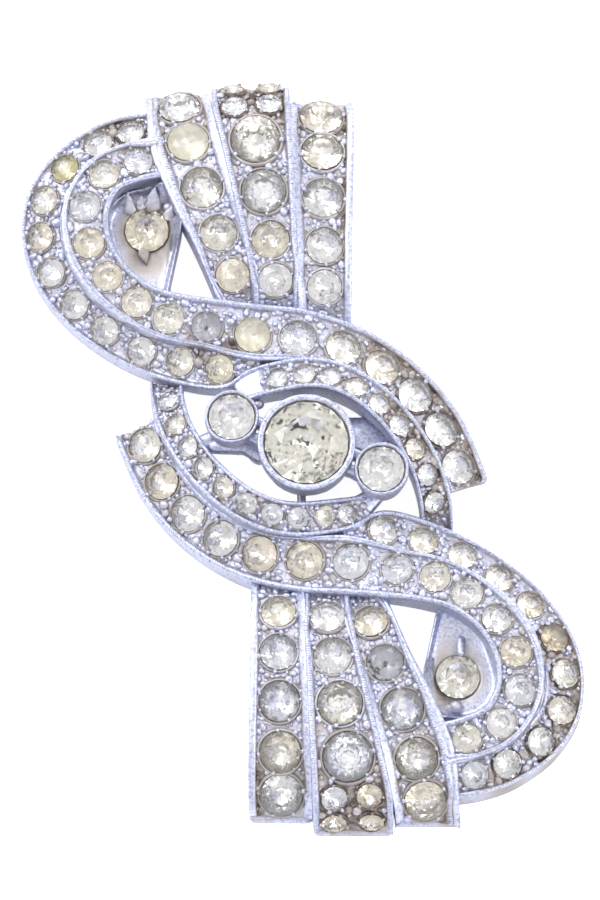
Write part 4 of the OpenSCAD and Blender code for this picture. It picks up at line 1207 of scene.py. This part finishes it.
def lumps_on(lane, left, right, smooth_rows, half):
    """Lumps scattered over one lane's floor, clear of the stones and of each other."""
    table = LANES[lane]
    length = even_steps(table, 1.0)[1][-1]
    first = max(LUMP_START, smooth_rows + PLATE_FREE) if half == "upper" else LUMP_START
    last = len(table) - (FAN_END_FREE if lane.startswith("fan") else ROW_END_FREE)
    taken = np.empty((0, 4))
    for density, least, largest in LUMP_SIZES:
        for s in random.uniform(first, last, int(length * density)):
            s = np.array([s])
            rows = rows_at(table, s)
            low = -(rows[0, WL] - edge_width(rows, WL, left[1])[0])
            high = rows[0, WR] - edge_width(rows, WR, right[1])[0]
            radius = random.uniform(least, largest)
            along, across, normal = (a[0] for a in axes_at(table, s))
            middle = rows[0, :3] + across * random.uniform(low, high)
            point = half_turn(middle + normal * (FLOOR + LUMP_SINK * radius), half)
            apart = np.linalg.norm(taken[:, :3] - point, axis=1)
            crowded = apart < LUMP_APART * (taken[:, 3] + radius)
            if room_at(point) > LUMP_STONE_GAP + radius * LUMP_STONE_SHARE and not crowded.any():
                taken = np.vstack([taken, [*point, radius]])
                axes = half_turn(np.array([across, along, normal]), half)
                size = radius * random.uniform(*LUMP_UNEVEN, 3) * LUMP_FLAT
                yield point, axes, size, random.uniform(*LUMP_HOLLOW)


for half in HALVES:
    lumps = [lump for _, lane, left, right, _, smooth_rows in SWEEPS
             for lump in lumps_on(lane, left, right, smooth_rows, half)]
    metal.append(set_shape(f"cast_lumps_{half}", LUMP_SHAPE, lumps, grit_depth=0.22, grit_size=0.35))

# %% Odd blobs
# Old repairs: a bead where a small stone is missing, cement beside the dark stone, and solder.
# Columns: x, y, z, radius, hollow.
BLOBS = [(-3.9, 6.6, 6.5, 0.34, 0.3), (-6.9, 10.8, 6.3, 0.5, 2.2), (-7.1, 12.9, 6.3, 0.45, 0.0),
         (-6.7, 13.3, 6.2, 0.35, 0.1), (15.3, -25.9, 3.8, 0.8, 0.7), (14.4, -26.2, 3.7, 0.65, 0.5),
         (-13.4, 25.3, 3.9, 0.7, 0.5), (-12.9, 24.4, 3.8, 0.5, 0.6), (4.9, -7.2, 5.2, 0.6, 0.2),
         (-4.3, 4.6, 5.4, 0.6, 0.5)]
BLOB_SIZES = np.array([1.0, 0.85, 0.8])
blobs = [((x, y, z), np.eye(3), size * BLOB_SIZES, hollow) for x, y, z, size, hollow in BLOBS]
metal.append(set_shape("repair_blobs", LUMP_SHAPE, blobs, grit_depth=0.35, grit_size=0.45))

# %% [markdown]
# ## Cutting the stones
#
# A round brilliant has a table, eight star facets, eight kites and sixteen small facets above
# its girdle, and mains and halves below it. The facets stay flat. Each stone gets its own turn
# about its axis and a slight lean, because no two are set alike.

# %% Brilliant cut
CROWN_SHARE = 0.3            # the crown's height against the radius
STAR_R, STAR_Z = 0.8, 0.62   # where stars and kites meet, against the radius and the crown
GIRDLE_HALF = 0.03
BACK_R, BACK_Z = 0.3, 0.76   # where the back's facets meet, against the radius and the depth


def brilliant(width, depth, table_share):
    """Points, crown faces and foiled faces, for a stone with its girdle at height 0."""
    r = width / 2
    crown = r * CROWN_SHARE

    def ring(count, radius, z, offset=0.0):
        return [(radius * math.cos(a), radius * math.sin(a), z) for a in around(count, offset)]

    points = ring(8, r * table_share, crown)                    # 0-7: table
    points += ring(8, r * STAR_R, crown * STAR_Z, 0.5)          # 8-15: between star and kite
    points += ring(16, r, GIRDLE_HALF)                          # 16-31: girdle's upper edge
    points += ring(16, r, -GIRDLE_HALF)                         # 32-47: girdle's lower edge
    points += ring(8, r * BACK_R, -depth * BACK_Z, 0.5)         # 48-55: between the back's facets
    points += [(0, 0, -depth)]                                  # 56: point
    crown_faces, foil_faces = [list(range(8))], []
    for k in range(8):
        after, before = (k + 1) % 8, (k - 1) % 8
        crown_faces += [[k, 8 + k, after], [k, 8 + before, 16 + 2 * k, 8 + k],
                        [8 + k, 16 + 2 * k, 17 + 2 * k], [8 + k, 17 + 2 * k, 16 + (2 * k + 2) % 16]]
        foil_faces += [[48 + k, 33 + 2 * k, 32 + 2 * k], [48 + k, 32 + (2 * k + 2) % 16, 33 + 2 * k],
                       [48 + before, 48 + k, 32 + 2 * k], [56, 48 + k, 48 + before]]
    foil_faces += [[16 + k, 32 + k, 32 + (k + 1) % 16, 16 + (k + 1) % 16] for k in range(16)]
    return np.array(points), crown_faces, foil_faces

# %% How each foil has aged
# Columns: colour, milkiness, how far it has flaked.
FOILS = {"clear": ("#FDFCFB", 0.0, 0.15), "cool": ("#F7F8FB", 0.0, 0.2), "champagne": ("#FCF9F2", 0.0, 0.25),
         "cream": ("#FCF7EC", 0.02, 0.2), "yellow": ("#EFEACC", 0.6, 0.3), "milky": ("#FAF6E8", 0.4, 0.1),
         "brown": ("#DDD3C2", 0.15, 0.5), "lost": ("#DCDDE1", 0.2, 1.0), "gold": ("#FFFAED", 0.0, 0.15),
         "tan": ("#F3EDE1", 0.05, 0.4), "centre": ("#FCFAF2", 0.0, 1.0)}
USUAL = ["clear"] * 9 + ["cool"] * 5 + ["champagne"] * 5 + ["cream"] * 3
CEMENT = "#3B393D"
# Stones that differ from the rest, by node and number in the row.
ODD_STONES = {
    "outer_row_upper": {3: "yellow", 11: "milky"}, "inner_row_upper": {8: "lost", 9: "milky"},
    "outer_row_lower": {6: "brown", 7: "tan", 8: "champagne"},
    "inner_row_lower": {9: "cool", 10: "cream"}, "centre_stone": {1: "centre"},
    "fan_upper_left_4": {1: "milky"}, "fan_lower_left_2": {1: "lost"},
    "fan_lower_left_4": {1: "champagne"}, "fan_end_stones_upper": {3: "tan", 4: "tan"},
    "fan_end_stones_lower": {1: "tan", 2: "cool", 3: "tan", 4: "tan"},
    "pear_stone_upper": {1: "gold"}, "pear_stone_lower": {1: "champagne"},
    "flank_stone_left": {1: "clear"}, "flank_stone_right": {1: "clear"}}

# %% One piece for each stone node
TABLE_SHARE = (0.52, 0.62)   # the table's width against the stone's
LEAN = 0.035                 # radians
TRIO_STEADIER = 0.3          # the bezels hold their stones this much straighter


def set_stone(stone):
    """Points, crown faces and foiled faces of one stone at its place, turned and leaning a little."""
    body, crown_faces, foil_faces = brilliant(
        stone["width"], pavilion_depth(stone), random.uniform(*TABLE_SHARE))
    spin = random.uniform(0, 2 * math.pi)
    lean = random.normal(0, LEAN, 2) * (TRIO_STEADIER if stone["lane"] == "trio" else 1)
    turn = Matrix.Rotation(spin, 3, "Z")
    turn = Matrix.Rotation(lean[0], 3, "X") @ Matrix.Rotation(lean[1], 3, "Y") @ turn
    along, across, normal = stone["axes"]
    placed = stone["middle"] + body @ np.array(turn).T @ np.array([across, along, normal])
    return placed, crown_faces, foil_faces


by_node = {}
for stone in stones:
    by_node.setdefault(stone["node"], []).append(stone)
for node, members in by_node.items():
    points, faces, foiled, looks = [], [], [], []
    for number, stone in enumerate(members, 1):
        usual = USUAL[random.integers(len(USUAL))]
        body, crown_faces, foil_faces = set_stone(stone)
        start = len(points) * len(body)
        points.append(body)
        foil = ODD_STONES.get(node, {}).get(number, usual)
        tint, milkiness, loss = FOILS[foil]
        looks += [(*linear(tint), milkiness, loss)] * len(body)
        if foil == "lost":
            # Where the foil has gone the dark cement shows under the stone's point.
            looks[-1] = (*linear(CEMENT), 1.0, loss)
        faces += [[i + start for i in f] for f in crown_faces + foil_faces]
        foiled += [0] * len(crown_faces) + [1] * len(foil_faces)
    cut = add_mesh("cut_" + node, np.concatenate(points), faces, crown_glass, smooth=False)
    cut.data.materials.append(foil_back)
    cut.data.polygons.foreach_set("material_index", foiled)
    looks = np.array(looks)
    add_attribute(cut.data, "foil", "FLOAT_COLOR", looks[:, :4])
    add_attribute(cut.data, "milk", "FLOAT", looks[:, 4])
    add_attribute(cut.data, "flaked", "FLOAT", looks[:, 5])
    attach(cut, "root")
    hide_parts(node)
print("cut stones:", sum(len(m) for m in by_node.values()))

# %% Put the metal on the body
for piece in metal:
    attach(piece, "root")
    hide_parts("casting")
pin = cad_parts["pin_back"]
pin.data.materials.clear()
pin.data.materials.append(pin_steel)

# %% [markdown]
# ## Floor and light
#
# The brooch lies on a plain white card. In a catalogue picture the card is lit until it is
# plain white, also where it shows through the openings, so it glows brightly for the camera,
# while the metal sees a greyer card that glows more faintly and so lights it from below. Cut
# glass needs something dark beside the light, so the sky is dimmer overhead than low down, and
# the softboxes stand at the sides.

# %% Floor
CARD_GLOW, CARD_LIGHT = 0.8, 0.3     # how brightly it glows for the camera, and for the metal
CARD_DARK, CARD_BRIGHT = linear("#F6F6F7"), linear("#FBFBFB")
CARD_UNSEEN = linear("#E4E5EA")      # its colour for all but the camera
FIBRE_MM = 0.8
FLOOR_HALF = 1600
floor_card, tree = new_material("white_card_matt")
place = add_node(tree, "ShaderNodeTexCoord").outputs["Object"]
seen = add_node(tree, "ShaderNodeLightPath").outputs["Is Camera Ray"]
fibre = add_node(tree, "ShaderNodeTexNoise", {
    "Vector": place, "Scale": 1 / (FIBRE_MM * MM), "Detail": 2.0})
card = add_node(tree, "ShaderNodeMix", {
    SHARE: fibre, FIRST: CARD_DARK, SECOND: CARD_BRIGHT}, data_type="RGBA")
glow = add_node(tree, "ShaderNodeMapRange", {"Value": seen, "To Min": CARD_LIGHT, "To Max": CARD_GLOW})
lit_card = add_node(tree, "ShaderNodeMix", {
    SHARE: seen, FIRST: CARD_UNSEEN, SECOND: card}, data_type="RGBA")
card_shader = add_node(tree, "ShaderNodeBsdfPrincipled", {
    "Base Color": lit_card, "Roughness": 0.9, "Emission Color": linear("#FFFFFF"),
    "Emission Strength": glow})
add_node(tree, "ShaderNodeOutputMaterial", {"Surface": card_shader})
corners = [(x * FLOOR_HALF, y * FLOOR_HALF, 0) for x, y in ((-1, -1), (1, -1), (1, 1), (-1, 1))]
ground = add_mesh("floor", corners, [[0, 1, 2, 3]], floor_card)

# %% Sky and softboxes
OVERHEAD, LOW_DOWN = 0.9, 1.15
world = bpy.data.worlds.new("studio")
bpy.context.scene.world = world
world.use_nodes = True
tree = world.node_tree
tree.nodes.clear()
height = add_node(tree, "ShaderNodeSeparateXYZ", {0: add_node(tree, "ShaderNodeTexCoord").outputs["Object"]})
dimming = add_node(tree, "ShaderNodeMapRange", {
    "Value": height.outputs["Z"], "From Min": 0.2, "From Max": 1.0, "To Min": LOW_DOWN, "To Max": OVERHEAD})
sky = add_node(tree, "ShaderNodeBackground", {"Color": linear("#F6F6FA"), "Strength": dimming})
add_node(tree, "ShaderNodeOutputWorld", {"Surface": sky})
# Columns: name, place in mm, width in mm, brightness against white.
SOFTBOXES = [("key", (-350, 260, 520), 420, 5.0), ("fill", (420, -120, 460), 380, 3.2),
             ("back", (60, 560, 320), 300, 4.0)]
for name, place_mm, width, brightness in SOFTBOXES:
    lamp = bpy.data.lights.new("softbox_" + name, "AREA")
    lamp.size = width * MM
    lamp.energy = brightness * math.pi * lamp.size ** 2
    box = bpy.data.objects.new("softbox_" + name, lamp)
    box.location = Vector(place_mm) * MM
    box.rotation_euler = (-Vector(place_mm)).to_track_quat("-Z", "Y").to_euler()
    box.visible_camera = False
    bpy.context.scene.collection.objects.link(box)
    print("softbox", name, round(lamp.energy, 2), "W")
bpy.context.scene.view_settings.view_transform = "Standard"
